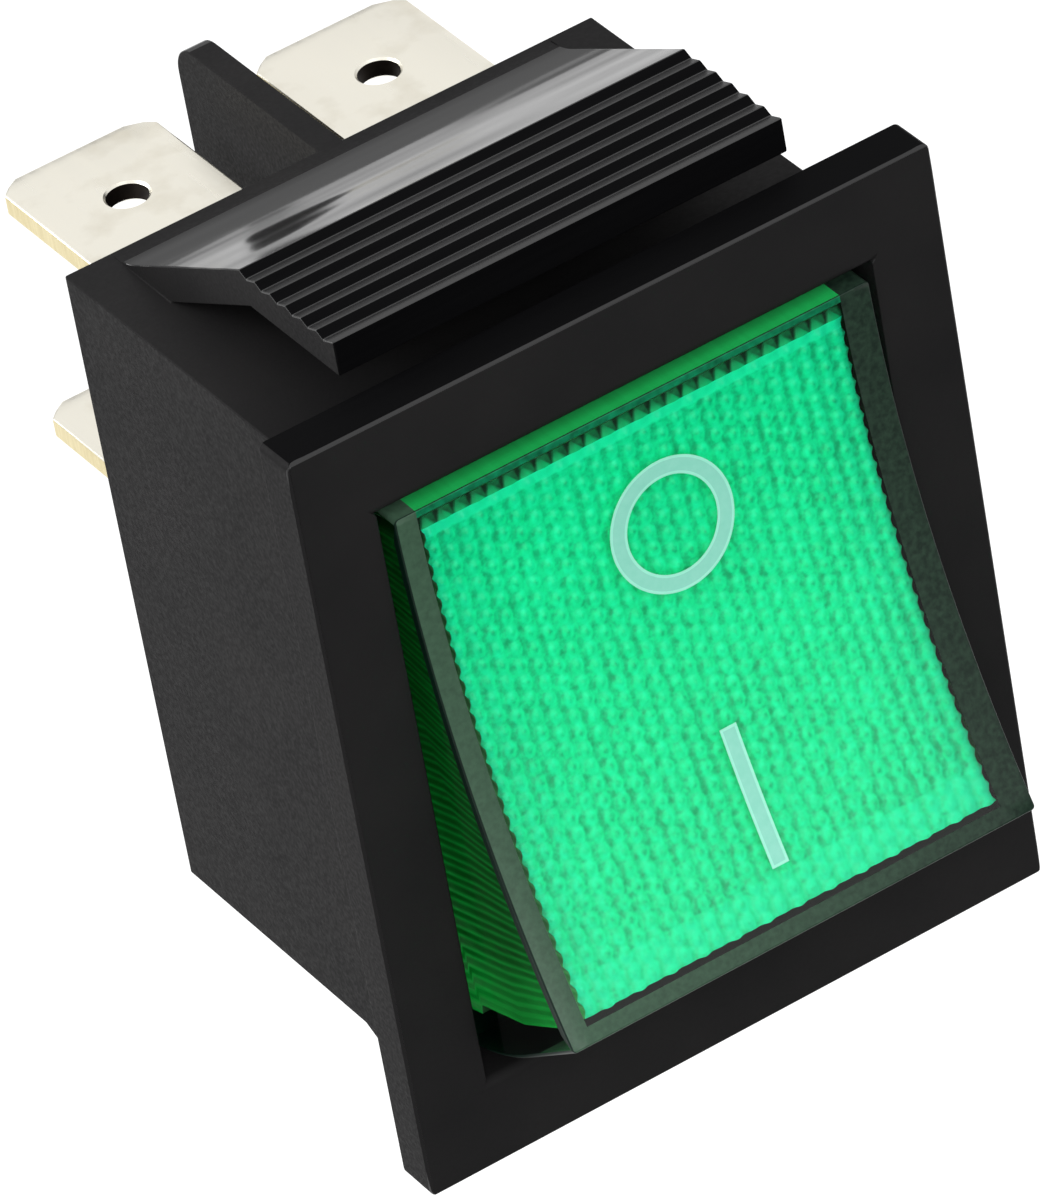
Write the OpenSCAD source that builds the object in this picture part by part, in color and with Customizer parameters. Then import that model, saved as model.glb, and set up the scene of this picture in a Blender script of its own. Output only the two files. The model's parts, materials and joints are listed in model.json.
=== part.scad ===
// Panel-mount rocker switch, two poles, on-off, with a lamp inside a clear green rocker.
// Each piece is drawn with the switch lying on its back: x runs across the bezel, y runs along it
// with the O end at +y, and z points out of the front, from zero at the back of the bezel.
// place() then stands the switch up as it sits in a wall: O end up (+Z), front facing -Y.

/* [Bezel] */
// Width of the bezel
bezel_w = 25.6; // [24.5:0.1:28]
// Length of the bezel
bezel_l = 31; // [29.5:0.1:34]
// Thickness of the bezel
bezel_t = 1.8; // [1.2:0.1:2.4]
// Radius of the bezel's corners
bezel_corner_r = 0.3; // [0.2:0.05:1.5]
// Chamfer round the front of the bezel
bezel_chamfer = 0.1; // [0.05:0.05:0.6]

/* [Body] */
// Width of the body behind the bezel
body_w = 21.55; // [21:0.05:23]
// Length of the body behind the bezel
body_l = 25.74; // [25.2:0.02:27]
// Depth of the body behind the bezel
body_d = 16.4; // [16:0.1:19]
// Thickness of the body's side walls
body_wall = 0.85; // [0.75:0.05:1]
// Thickness of the body's floor
floor_t = 1.8; // [1.2:0.1:2]
// Thickness of the inner wall between the poles
partition_t = 1.2; // [0.8:0.1:1.6]
// Height of the inner wall between the poles
partition_h = 5.2; // [3:0.1:6]
// Thickness of the ledges that stop the rocker
stop_t = 1.2; // [0.8:0.1:1.6]
// Reach of those ledges from the end walls
stop_reach = 2; // [1.5:0.1:2.4]

/* [Snap wings] */
// Width of a wing
wing_w = 17.9; // [12:0.1:19]
// Thickness of a wing
wing_t = 1.35; // [0.9:0.05:1.4]
// Distance from the body's end out to the wing's ridge
wing_out = 4.2; // [4.1:0.05:5]
// Depth behind the bezel at which the ramp leaves the body
wing_root_depth = 15.5; // [14:0.1:16]
// Depth of the ridge behind the bezel
wing_ridge_depth = 6.8; // [5.5:0.1:8]
// Gap between the bezel and the tip of a wing
wing_tip_gap = 0.94; // [0.8:0.02:1.6]
// Radius of the hollow curve in which the ramp leaves the body
wing_fillet_r = 3.5; // [1:0.1:6]
// Number of gripping ribs on a wing
rib_count = 7; // [3:1:8]
// Height of a gripping rib
rib_h = 0.19; // [0.1:0.01:0.4]
// Share of the rib pitch over which a rib falls towards the bezel
rib_fall = 0.43; // [0.3:0.01:0.6]
// Share of the rib pitch that the last rib keeps at the wing's tip
rib_end = 0.12; // [0.05:0.01:0.4]

/* [Barrier] */
// Thickness of the barrier between the terminals
barrier_t = 1; // [0.8:0.1:1.6]
// Depth of the barrier behind the body
barrier_d = 9.6; // [6:0.1:11]
// Radius of the barrier's corners
barrier_r = 1.3; // [0.4:0.1:3]

/* [Rocker] */
// Tilt of the rocker to either side of level
rocker_tilt = 16.4; // [13:0.1:17]
// Depth of the rocker's axis behind the back of the bezel
pivot_depth = 2.2; // [2:0.05:2.6]
// Length of the rocker's front between its two edges
rocker_l = 20; // [19:0.1:20.4]
// Height of those edges over the axis
rocker_h = 7.44; // [6.9:0.02:8]
// Radius of the hollow front
dish_r = 42; // [38:0.5:60]
// Height over the axis at which the slanted end walls turn round
flank_h = 3.5; // [3:0.1:4]
// Depth of the rocker's walls under the axis
skirt_h = 1.2; // [0.9:0.1:1.6]
// Gap between the rocker and the body's side walls
side_gap = 0.42; // [0.25:0.01:0.6]
// Gap between the rocker's round ends and the body's end walls
end_gap = 0.3; // [0.2:0.02:0.6]
// Thickness of the rocker's side and end walls
lens_wall = 1.2; // [1:0.05:1.4]
// Thickness of the rocker's front
lens_front = 1.3; // [1:0.05:1.6]
// Pitch of the prism grooves across the inside of the front
prism_pitch = 0.64; // [0.5:0.02:1.2]
// Depth of those grooves
prism_depth = 0.26; // [0.1:0.02:0.4]
// Radius of the rocker's pivot pins
pivot_r = 1.4; // [1:0.05:1.6]
// Wall of the boss round a pivot pin
boss_wall = 0.9; // [0.6:0.05:1.2]
// Depth of a pivot pin in the body's wall
pivot_depth_in_wall = 0.42; // [0.3:0.02:0.5]
// Running clearance of pins, plungers and blades
running_gap = 0.05; // [0.02:0.01:0.08]

/* [Terminals] */
// Width of a tab
tab_w = 6.3; // [4.8:0.1:6.6]
// Thickness of a tab
tab_t = 0.8; // [0.6:0.05:1]
// Length of a tab behind the body
tab_l = 9.7; // [7:0.1:11]
// Bevel of the corners of a tab's tip
tab_bevel = 0.9; // [0.4:0.05:1.4]
// Length over which a tab thins towards its tip
tab_lead = 0.6; // [0.3:0.05:1]
// Thickness of a tab at its tip
tab_tip_t = 0.4; // [0.3:0.05:0.5]
// Diameter of the hole in a tab
tab_hole_d = 1.55; // [1.2:0.05:2]
// Width of the bevelled rim round that hole
tab_hole_rim = 0.08; // [0.05:0.01:0.2]
// Distance of that hole from the tip
tab_hole_from_tip = 4; // [2.6:0.05:4.4]
// Distance between the two poles
pole_pitch = 10.4; // [10:0.05:10.6]
// Place of the line tabs along the body
line_row = 10.2; // [9.9:0.05:10.5]
// Place of the load tabs along the body
load_row = 0.65; // [0.5:0.05:0.75]
// Gap round a tab in the floor
slot_gap = 0.05; // [0.03:0.01:0.1]

/* [Contacts] */
// Width of a blade
blade_w = 3.2; // [2.6:0.1:3.6]
// Thickness of a blade
blade_t = 0.5; // [0.4:0.02:0.6]
// Upward bend of each of the blade's arms
blade_bend = 18; // [16:0.5:20]
// Swing of the blade to either side of level
blade_swing = 7; // [6:0.25:8]
// Height of the blade's axis over the floor
fulcrum_h = 2.2; // [2:0.05:2.5]
// Radius of the blade's pin
fulcrum_r = 0.4; // [0.3:0.02:0.5]
// Length of the idle arm
idle_arm = 4.6; // [4:0.1:5.4]
// Distance of the contact from the blade's axis
contact_arm = 6.2; // [5.8:0.05:6.6]
// Radius of the contact rivets' heads
rivet_r = 1; // [0.8:0.05:1.2]
// Height of the contact rivets' heads
rivet_h = 0.45; // [0.3:0.05:0.5]
// Radius of the contact rivets' shanks
shank_r = 0.5; // [0.4:0.05:0.6]
// Radius of the fixed rivets' domed heads
dome_r = 2.5; // [2:0.1:4]
// Gap left between the closed contacts
contact_gap = 0.05; // [0.03:0.01:0.1]
// Thickness of the cradle's two ears
ear_t = 0.8; // [0.6:0.05:1]
// Width of an ear
ear_l = 2.4; // [2:0.1:2.8]
// Gap between an ear and the blade's edge
ear_gap = 0.7; // [0.5:0.05:0.9]
// Width of the ledge that carries a fixed contact
ledge_w = 4.4; // [3:0.1:5]
// Length of the headed end of a rivet
upset_h = 0.25; // [0.15:0.05:0.35]
// Radius of the headed end of a blade's rivet against the blade
upset_r = 0.8; // [0.65:0.05:1]
// Radius of the headed end of a blade's rivet at its top
upset_top_r = 0.6; // [0.4:0.05:0.65]

/* [Plungers and springs] */
// Radius of a plunger
plunger_r = 1.15; // [1:0.05:1.3]
// Length of a plunger from its tip
plunger_l = 5.6; // [5:0.1:6]
// Least gap between a plunger's tip and its blade
tip_gap = 0.05; // [0.03:0.01:0.1]
// Outer radius of a plunger's guide tube
tube_r = 2; // [1.8:0.05:2.3]
// Depth of the guide tube under the axis
tube_depth = 7.2; // [6.6:0.1:7.4]
// Height of the guide tube over the axis
tube_h = 3; // [2.6:0.1:3.4]
// Thickness of the guide tube's closed top
tube_top_t = 0.8; // [0.5:0.05:1]
// Radius of the spring's wire
spring_wire_r = 0.16; // [0.12:0.01:0.2]
// Step from the plunger's outline in to the spring's
spring_inset = 0.1; // [0.05:0.01:0.2]
// Turns of a spring
spring_turns = 7; // [5:1:8]

/* [Lamp] */
// Thickness of the carrier's plate
carrier_t = 1.2; // [1:0.1:1.4]
// Height of the plate's top over the axis
carrier_top = 0.5; // [0.3:0.1:0.7]
// Width of the step in the rocker's walls that the plate lies against
carrier_step = 0.3; // [0.2:0.02:0.35]
// Radius of the bulb
bulb_r = 1.6; // [1.3:0.05:1.8]
// Length of the bulb
bulb_l = 9; // [7:0.1:9.6]
// Thickness of the bulb's glass
glass_t = 0.35; // [0.25:0.05:0.45]
// Thickness of the bulb's sealed base
bulb_base_t = 1; // [0.6:0.1:1.4]
// Gap between the bulb and the carrier's plate
bulb_lift = 0.2; // [0.1:0.05:0.4]
// Thickness and side wall of the cradles under the bulb
cradle_wall = 0.9; // [0.6:0.05:1.2]
// Radius of the lamp's wires
wire_r = 0.22; // [0.15:0.01:0.25]
// Distance between the two electrodes
electrode_pitch = 1; // [0.8:0.05:1.3]
// Distance of the electrodes' tips past the middle of the bulb
electrode_tip = 1.8; // [1:0.1:2.4]
// Straight run of the leads out of the bulb's base
lead_run = 0.7; // [0.5:0.05:0.9]
// Height of the leads over the guide tubes
lead_lift = 0.35; // [0.2:0.05:0.5]
// Distance from a guide tube at which its lead rises
lead_gap = 0.5; // [0.3:0.05:0.7]
// Length of the resistor
resistor_l = 3.6; // [3:0.1:4]
// Radius of the resistor's ends
resistor_r = 0.95; // [0.7:0.05:1]
// Radius of the resistor's waist
resistor_waist_r = 0.8; // [0.6:0.05:0.85]
// Distance of the resistor from the rocker's end wall
resistor_inset = 1.9; // [1.6:0.1:2.2]
// Bare wire at the far end of the resistor
resistor_wire = 0.85; // [0.7:0.05:1]

/* [Hidden] */
$fn = 64;

// More than the longest cut through any piece
through = 60;
left = -pole_pitch / 2;
right = pole_pitch / 2;

// Hollow of the body
inner_w = body_w - 2 * body_wall;
inner_l = body_l - 2 * body_wall;
floor_z = floor_t - body_d;

// Rocker, measured from its axis
lens_w = inner_w - 2 * side_gap;
end_r = inner_l / 2 - end_gap;
flank_y = sqrt(end_r * end_r - flank_h * flank_h);
dish_z = rocker_h + sqrt(dish_r * dish_r - rocker_l * rocker_l / 4);
boss_r = pivot_r + boss_wall;
pivot_reach = side_gap + pivot_depth_in_wall - running_gap;
seat_w = lens_w - 2 * lens_wall;
seat_l = 2 * (flank_y - lens_wall);

// Inside of the rocker's front: its height along y, and where the end walls meet it
function roof_z(y) = dish_z - sqrt((dish_r + lens_front) * (dish_r + lens_front) - y * y);
front_half = rocker_l / 2 - lens_wall;
wall_lean = (seat_l / 2 - front_half) / (rocker_h - flank_h);
roof_half = front_half + wall_lean * (rocker_h - roof_z(front_half));
prism_rows = round(2 * roof_half / prism_pitch);
prism_step = roof_half / prism_rows;

// Stop under the pressed end: the lower outer corner of the rocker's end wall comes down on it
skirt_y = sqrt(end_r * end_r - skirt_h * skirt_h);
stop_drop = pivot_depth + skirt_y * sin(rocker_tilt) + skirt_h * cos(rocker_tilt) + running_gap;

// Wing: the ramp's direction and the points of its inner face
wing_run = wing_root_depth - wing_ridge_depth;
wing_ramp = sqrt(wing_out * wing_out + wing_run * wing_run);
wing_slant = atan2(wing_out, wing_run);
wing_in_run = wing_t * wing_ramp / wing_out;
wing_back = wing_out - wing_t;
wing_back_depth = wing_root_depth - wing_in_run - wing_back * wing_run / wing_out;
rib_pitch = (wing_ridge_depth - wing_tip_gap) / (rib_count - 1 + rib_end);

// Hollow curve at the wing's root, kept on the body's end
fillet_steps = 8;
fillet_reach = min(wing_fillet_r * tan(wing_slant / 2), body_d - wing_root_depth);
fillet_r = fillet_reach / tan(wing_slant / 2);

// Blade: its axis, its two end positions and where its contact lands
fulcrum_z = floor_z + fulcrum_h;
arm_closed = blade_bend - blade_swing;
contact_y = contact_arm * cos(arm_closed) + (blade_t / 2 + rivet_h) * sin(arm_closed);
contact_z = fulcrum_z + contact_arm * sin(arm_closed) - (blade_t / 2 + rivet_h) * cos(arm_closed);
dome_top = contact_z - (dome_r + contact_gap) / cos(arm_closed) + dome_r;
dome_sag = dome_r - sqrt(dome_r * dome_r - rivet_r * rivet_r);
ledge_z = dome_top - rivet_h - dome_sag / 2;
ear_x = blade_w / 2 + ear_gap;

// Plunger: the farthest tip that stays clear of the blade all through the swing
axis_rise = -pivot_depth - fulcrum_z;
tip_space = blade_t / 2 + plunger_r + tip_gap;
tip_centre = min([
    for (s = [-1 : 0.05 : 1])
        (axis_rise * cos(blade_bend - s * blade_swing) - tip_space)
            / cos(s * (rocker_tilt + blade_swing) - blade_bend)
]);
plunger_top = plunger_l - plunger_r - tip_centre;
bore_r = plunger_r + running_gap;
bore_top = tube_h - tube_top_t;
spring_r = plunger_r - spring_wire_r - spring_inset;
spring_l = bore_top - plunger_top - 2 * running_gap;

// Tab: its tip and the middle of its hole
tab_tip = -body_d - tab_l;
tab_hole_z = tab_tip + tab_hole_from_tip;

// Lamp and its wires
bulb_z = carrier_top + bulb_r + bulb_lift;
bulb_base = -bulb_l / 2;
cradle_y = bulb_l / 4;
lead_out = bulb_base - lead_run;
lead_top = tube_h + wire_r + lead_lift;
lead_tip = bore_top + wire_r;
lead_rise = -tube_r - lead_gap;
resistor_y = resistor_inset + resistor_l / 2 - seat_l / 2;
resistor_z = carrier_top + resistor_r;
resistor_far = resistor_y - resistor_l / 2 - resistor_wire;
lead_far = resistor_far - wire_r - running_gap;

// From the drawing to the switch as it sits in a wall
module place() {
    rotate([90, 0, 0]) children();
}

// The rocker's own frame, resting with its O end pressed
module rocked() {
    place() translate([0, 0, -pivot_depth]) rotate([-rocker_tilt, 0, 0]) children();
}

// A blade's own frame, resting with its contact open
module seesawed(x) {
    place() translate([x, 0, fulcrum_z]) rotate([blade_swing, 0, 0]) children();
}

// An outline in y and z, drawn out along x to both sides
module across(w) {
    rotate([90, 0, 90]) linear_extrude(height = w, center = true) children();
}

// A round bar along x
module bar_x(r, l) {
    rotate([0, 90, 0]) cylinder(r = r, h = l, center = true);
}

// A round bar along y
module bar_y(r, l) {
    rotate([90, 0, 0]) cylinder(r = r, h = l, center = true);
}

module rounded_square(w, l, r) {
    square([w - 2 * r, l], center = true);
    square([w, l - 2 * r], center = true);
    for (x = [-1, 1])
        for (y = [-1, 1])
            translate([x * (w / 2 - r), y * (l / 2 - r)]) circle(r);
}

// Cross-section of the bezel with its chamfered front
module bezel_section(size) {
    polygon([
        [-size / 2, 0], [size / 2, 0], [size / 2, bezel_t - bezel_chamfer],
        [size / 2 - bezel_chamfer, bezel_t], [bezel_chamfer - size / 2, bezel_t],
        [-size / 2, bezel_t - bezel_chamfer]
    ]);
}

module bezel() {
    intersection() {
        linear_extrude(height = bezel_t) rounded_square(bezel_w, bezel_l, bezel_corner_r);
        across(bezel_w) bezel_section(bezel_l);
        rotate([0, 0, 90]) across(bezel_l) bezel_section(bezel_w);
    }
}

// Wing at the O end: ramp, ridge, then a ribbed grip that stops short of the bezel
module wing_section() {
    root_depth = wing_root_depth + fillet_reach;
    root = [
        for (i = [0 : fillet_steps])
            let (a = wing_slant * i / fillet_steps)
                [fillet_r * (1 - cos(a)), fillet_r * sin(a) - root_depth]
    ];
    ribs = [
        for (i = [0 : rib_count - 2])
            let (z = i * rib_pitch - wing_ridge_depth)
                each [[wing_out, z], [wing_out - rib_h, z + rib_pitch * rib_fall]]
    ];
    translate([body_l / 2, 0]) polygon(concat(
        [[-body_wall / 2, -root_depth]],
        root,
        ribs,
        [
            [wing_out, -wing_tip_gap - rib_pitch * rib_end], [wing_out, -wing_tip_gap],
            [wing_back, -wing_tip_gap], [wing_back, -wing_back_depth],
            [0, wing_in_run - wing_root_depth],
            [-body_wall / 2, wing_in_run - wing_root_depth]
        ]
    ));
}

module wings() {
    for (end = [0, 1])
        mirror([0, end, 0]) across(wing_w) wing_section();
}

module barrier() {
    across(barrier_t) translate([0, -body_d - barrier_d / 2])
        union() {
            rounded_square(body_l, barrier_d, barrier_r);
            translate([-body_l / 2, 0]) square([body_l, barrier_d / 2 + floor_t / 2]);
        }
}

// Block of the floor that carries the inner ledge of a line tab
module ledge_seat(x) {
    block_l = line_row - tab_t / 2 - slot_gap - contact_y + rivet_r;
    translate([x - ledge_w / 2, contact_y - rivet_r, floor_z - floor_t / 2])
        cube([ledge_w, block_l, ledge_z - tab_t - floor_z + floor_t / 2]);
}

// Ledge on an end wall that stops the pressed end of the rocker
module rocker_stop() {
    translate([-seat_w / 2, inner_l / 2 - stop_reach, -stop_drop - stop_t])
        cube([seat_w, stop_reach + body_wall / 2, stop_t]);
}

module tab_slot(x, y) {
    translate([x, y, floor_z - floor_t / 2])
        cube([tab_w + 2 * slot_gap, tab_t + 2 * slot_gap, 2 * floor_t], center = true);
}

module housing() {
    color("#242424") place() difference() {
        union() {
            difference() {
                union() {
                    bezel();
                    translate([-body_w / 2, -body_l / 2, -body_d]) cube([body_w, body_l, body_d]);
                    wings();
                }
                translate([-inner_w / 2, -inner_l / 2, floor_z]) cube([inner_w, inner_l, through]);
            }
            barrier();
            translate([-partition_t / 2, -body_l / 2 + body_wall / 2, floor_z - floor_t / 2])
                cube([partition_t, body_l - body_wall, partition_h + floor_t / 2]);
            for (end = [0, 1])
                mirror([0, end, 0]) rocker_stop();
            for (x = [left, right])
                ledge_seat(x);
        }
        translate([0, 0, -pivot_depth]) bar_x(pivot_r + running_gap, inner_w + 2 * pivot_depth_in_wall);
        for (x = [left, right])
            for (y = [line_row, load_row])
                tab_slot(x, y);
        for (x = [left, right])
            translate([x, contact_y, floor_z]) cylinder(r = shank_r + running_gap, h = through);
    }
}

// The rocker's outline from the side, about its axis
module rocker_section() {
    difference() {
        union() {
            polygon([
                [-rocker_l / 2, rocker_h], [rocker_l / 2, rocker_h],
                [flank_y, flank_h], [-flank_y, flank_h]
            ]);
            intersection() {
                circle(end_r, $fn = 180);
                translate([-end_r, -skirt_h]) square([2 * end_r, skirt_h + flank_h]);
            }
        }
        translate([0, dish_z]) circle(dish_r, $fn = 360);
    }
}

// The hollow behind the front, down to the step that the carrier lies against.
// Prism grooves run across its roof from end wall to end wall and spread the lamp's light.
module rocker_hollow() {
    roof = [
        for (i = [0 : 2 * prism_rows])
            let (y = roof_half - i * prism_step)
                [y, roof_z(y) + i % 2 * prism_depth]
    ];
    polygon(concat(
        [[-seat_l / 2, flank_h], [-seat_l / 2, 0], [seat_l / 2, 0], [seat_l / 2, flank_h]],
        roof
    ));
}

module rocker_lens() {
    recess_w = seat_w + 2 * carrier_step;
    recess_l = seat_l + 2 * carrier_step;
    color("#12c878") rocked() {
        difference() {
            union() {
                across(lens_w) rocker_section();
                bar_x(boss_r, lens_w);
            }
            across(seat_w) rocker_hollow();
            translate([-recess_w / 2, -recess_l / 2, carrier_top - through])
                cube([recess_w, recess_l, through]);
        }
        for (side = [-1, 1])
            translate([side * (lens_w / 2 + pivot_reach / 2 - lens_wall / 4), 0, 0])
                bar_x(pivot_r, pivot_reach + lens_wall / 2);
    }
}

// Half-round cradle that the bulb lies in
module bulb_cradle(y) {
    cradle_w = 2 * (bulb_r + cradle_wall);
    translate([0, y, 0]) difference() {
        translate([-cradle_w / 2, -cradle_wall / 2, carrier_top - carrier_t / 2])
            cube([cradle_w, cradle_wall, bulb_z - carrier_top + carrier_t / 2]);
        translate([0, 0, bulb_z]) bar_y(bulb_r + running_gap, 2 * cradle_wall);
    }
}

module lamp_carrier() {
    plate_w = seat_w + 2 * (carrier_step - running_gap);
    plate_l = seat_l + 2 * (carrier_step - running_gap);
    color("#eeeae0") rocked() difference() {
        union() {
            translate([-plate_w / 2, -plate_l / 2, carrier_top - carrier_t])
                cube([plate_w, plate_l, carrier_t]);
            for (x = [left, right])
                translate([x, 0, -tube_depth]) cylinder(r = tube_r, h = tube_depth + tube_h);
            for (side = [-1, 1])
                bulb_cradle(side * cradle_y);
        }
        for (x = [left, right])
            translate([x, 0, 0]) {
                translate([0, 0, bore_top - through]) cylinder(r = bore_r, h = through);
                cylinder(r = wire_r + running_gap, h = through);
            }
    }
}

// Outside or inside of the bulb, round at the O end
module bulb_shape(r, base) {
    round_y = bulb_l / 2 - bulb_r;
    rotate([-90, 0, 0]) rotate_extrude() intersection() {
        union() {
            translate([0, base]) square([r, round_y - base]);
            translate([0, round_y]) circle(r);
        }
        translate([0, base]) square([r, round_y - base + r]);
    }
}

module lamp_bulb() {
    color("#f2efe6", 0.5) rocked() translate([0, 0, bulb_z]) difference() {
        bulb_shape(bulb_r, bulb_base);
        bulb_shape(bulb_r - glass_t, bulb_base + bulb_base_t);
        for (side = [-1, 1])
            translate([side * electrode_pitch / 2, bulb_base, 0])
                bar_y(wire_r + running_gap, 4 * bulb_base_t);
    }
}

// A wire through a list of points
module wire(points) {
    for (i = [1 : len(points) - 1])
        hull() {
            translate(points[i - 1]) sphere(wire_r, $fn = 12);
            translate(points[i]) sphere(wire_r, $fn = 12);
        }
}

// Wire over the guide tube and down onto the end of its spring
function over_tube(x) = [[x, lead_rise, lead_top], [x, 0, lead_top], [x, 0, lead_tip]];

module lamp_lead_left() {
    x = -electrode_pitch / 2;
    color("#c8c4b8") rocked() wire(concat(
        [[x, electrode_tip, bulb_z], [x, lead_out, bulb_z], [left, lead_out, bulb_z]],
        over_tube(left)
    ));
}

module lamp_lead_right() {
    x = electrode_pitch / 2;
    color("#c8c4b8") rocked() wire([
        [x, electrode_tip, bulb_z], [x, lead_out, bulb_z], [x, lead_far, resistor_z],
        [right, lead_far, resistor_z]
    ]);
}

module lamp_resistor() {
    end_l = resistor_l / 4;
    near = resistor_y + resistor_l / 2;
    far_l = resistor_wire + end_l / 2;
    color("#c9b48a") rocked() {
        translate([right, resistor_y, resistor_z]) {
            bar_y(resistor_waist_r, resistor_l - end_l);
            for (side = [-1, 1])
                translate([0, side * (resistor_l - end_l) / 2, 0]) bar_y(resistor_r, end_l);
        }
        translate([right, resistor_far + far_l / 2, resistor_z]) bar_y(wire_r, far_l);
        wire(concat(
            [[right, near - end_l / 2, resistor_z], [right, lead_rise, resistor_z]],
            over_tube(right)
        ));
    }
}

// A helix of round wire as one swept solid
module coil(turns, r, l, wire) {
    sides = 6;
    steps = 14;
    n = turns * steps;
    rise = l - 2 * wire;
    points = [
        for (i = [0 : n])
            for (j = [0 : sides - 1])
                let (a = 360 * i / steps, b = 360 * j / sides, d = r + wire * cos(b))
                    [d * cos(a), d * sin(a), wire + rise * i / n + wire * sin(b)]
    ];
    walls = [
        for (i = [0 : n - 1])
            for (j = [0 : sides - 1])
                let (k = (j + 1) % sides)
                    [i * sides + j, (i + 1) * sides + j, (i + 1) * sides + k, i * sides + k]
    ];
    start = [for (j = [0 : sides - 1]) j];
    finish = [for (j = [sides - 1 : -1 : 0]) n * sides + j];
    polyhedron(points, concat([start], walls, [finish]));
}

module spring(x) {
    color("#b9bdc2") rocked() translate([x, 0, plunger_top + running_gap])
        coil(spring_turns, spring_r, spring_l, spring_wire_r);
}

module spring_left() { spring(left); }
module spring_right() { spring(right); }

// Round-nosed pin, revolved about its axis
module plunger(x) {
    color("#c9a24a") rocked() translate([x, 0, -tip_centre]) rotate_extrude() intersection() {
        union() {
            circle(plunger_r);
            square([plunger_r, plunger_l - plunger_r]);
        }
        translate([0, -plunger_r]) square([plunger_r, plunger_l]);
    }
}

module plunger_left() { plunger(left); }
module plunger_right() { plunger(right); }

// One arm of a blade, flat in its own plane and bent up from the axis
module blade_arm(bend) {
    rotate([bend, 0, 0]) translate([0, 0, -blade_t / 2]) linear_extrude(height = blade_t) children();
}

module blade(x) {
    color("#c77b4e") seesawed(x) difference() {
        union() {
            blade_arm(blade_bend) {
                translate([-blade_w / 2, 0]) square([blade_w, contact_arm]);
                translate([0, contact_arm]) circle(blade_w / 2);
            }
            blade_arm(-blade_bend)
                translate([-blade_w / 2, -idle_arm]) square([blade_w, idle_arm]);
            bar_x(fulcrum_r, 2 * (ear_x + ear_t) - 2 * running_gap);
        }
        rotate([blade_bend, 0, 0]) translate([0, contact_arm, -through / 2])
            cylinder(r = shank_r + running_gap / 2, h = through);
    }
}

module blade_left() { blade(left); }
module blade_right() { blade(right); }

// Rivet under the end of the long arm, headed over on top
module blade_rivet(x) {
    color("#d8d8d4") seesawed(x) rotate([blade_bend, 0, 0]) translate([0, contact_arm, -blade_t / 2]) {
        translate([0, 0, -rivet_h]) cylinder(r = rivet_r, h = rivet_h);
        cylinder(r = shank_r, h = blade_t);
        translate([0, 0, blade_t]) cylinder(r1 = upset_r, r2 = upset_top_r, h = upset_h);
    }
}

module blade_rivet_left() { blade_rivet(left); }
module blade_rivet_right() { blade_rivet(right); }

// Half-open outline of a tab's end: straight sides up to a height, then both corners cut at the tip
module tab_outline(w, tip_w, cut, top) {
    polygon([
        [-w / 2, top], [-w / 2, tab_tip + cut], [-tip_w / 2, tab_tip],
        [tip_w / 2, tab_tip], [w / 2, tab_tip + cut], [w / 2, top]
    ]);
}

// Hole through a tab, with a bevelled rim on each face
module tab_hole() {
    hole_r = tab_hole_d / 2;
    translate([0, 0, tab_hole_z]) {
        bar_y(hole_r, 2 * tab_t);
        for (side = [-1, 1])
            translate([0, side * (tab_t / 2 - tab_hole_rim), 0]) rotate([-90 * side, 0, 0])
                cylinder(r1 = hole_r, r2 = hole_r + 2 * tab_hole_rim, h = 2 * tab_hole_rim);
    }
}

// Flat tab behind the body, thinned and bevelled at its tip, up to a height in the body
module tab(top) {
    difference() {
        intersection() {
            rotate([90, 0, 0]) linear_extrude(height = tab_t, center = true)
                tab_outline(tab_w, tab_w - 2 * tab_bevel, tab_bevel, top);
            across(tab_w) tab_outline(tab_t, tab_tip_t, tab_lead, top);
        }
        tab_hole();
    }
}

// Ear of the cradle, with the half-round notch that the blade's pin rolls in
module ear() {
    translate([0, 0, floor_z]) difference() {
        translate([-ear_t / 2, -ear_l / 2, 0]) cube([ear_t, ear_l, fulcrum_h]);
        translate([0, 0, fulcrum_h]) bar_x(fulcrum_r + running_gap, 2 * ear_t);
    }
}

module load_terminal(x) {
    foot_w = 2 * (ear_x + ear_t);
    color("#e6e0d2") place() translate([x, 0, 0]) {
        translate([0, load_row, 0]) tab(floor_z + tab_t / 2);
        translate([-foot_w / 2, -ear_l / 2, floor_z]) cube([foot_w, ear_l, tab_t]);
        for (side = [-1, 1])
            translate([side * (ear_x + ear_t / 2), 0, 0]) ear();
    }
}

module load_terminal_left() { load_terminal(left); }
module load_terminal_right() { load_terminal(right); }

module line_terminal(x) {
    ledge_start = contact_y - rivet_r;
    color("#e6e0d2") place() translate([x, 0, 0]) difference() {
        union() {
            translate([0, line_row, 0]) tab(floor_z + tab_t);
            translate([-ledge_w / 2, line_row - tab_t / 2, floor_z])
                cube([ledge_w, tab_t, ledge_z - floor_z]);
            translate([-ledge_w / 2, ledge_start, ledge_z - tab_t])
                cube([ledge_w, line_row + tab_t / 2 - ledge_start, tab_t]);
        }
        translate([0, contact_y, ledge_z - 2 * tab_t])
            cylinder(r = shank_r + running_gap / 2, h = 3 * tab_t);
    }
}

module line_terminal_left() { line_terminal(left); }
module line_terminal_right() { line_terminal(right); }

// Domed contact rivet set in the ledge of a line tab
module fixed_rivet(x) {
    color("#d8d8d4") place() translate([x, contact_y, 0]) {
        intersection() {
            translate([0, 0, ledge_z]) cylinder(r = rivet_r, h = dome_top - ledge_z + rivet_h);
            translate([0, 0, dome_top - dome_r]) sphere(dome_r, $fn = 180);
        }
        translate([0, 0, ledge_z - tab_t - upset_h])
            cylinder(r = shank_r, h = tab_t + upset_h + rivet_h / 2);
    }
}

module fixed_rivet_left() { fixed_rivet(left); }
module fixed_rivet_right() { fixed_rivet(right); }

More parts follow.
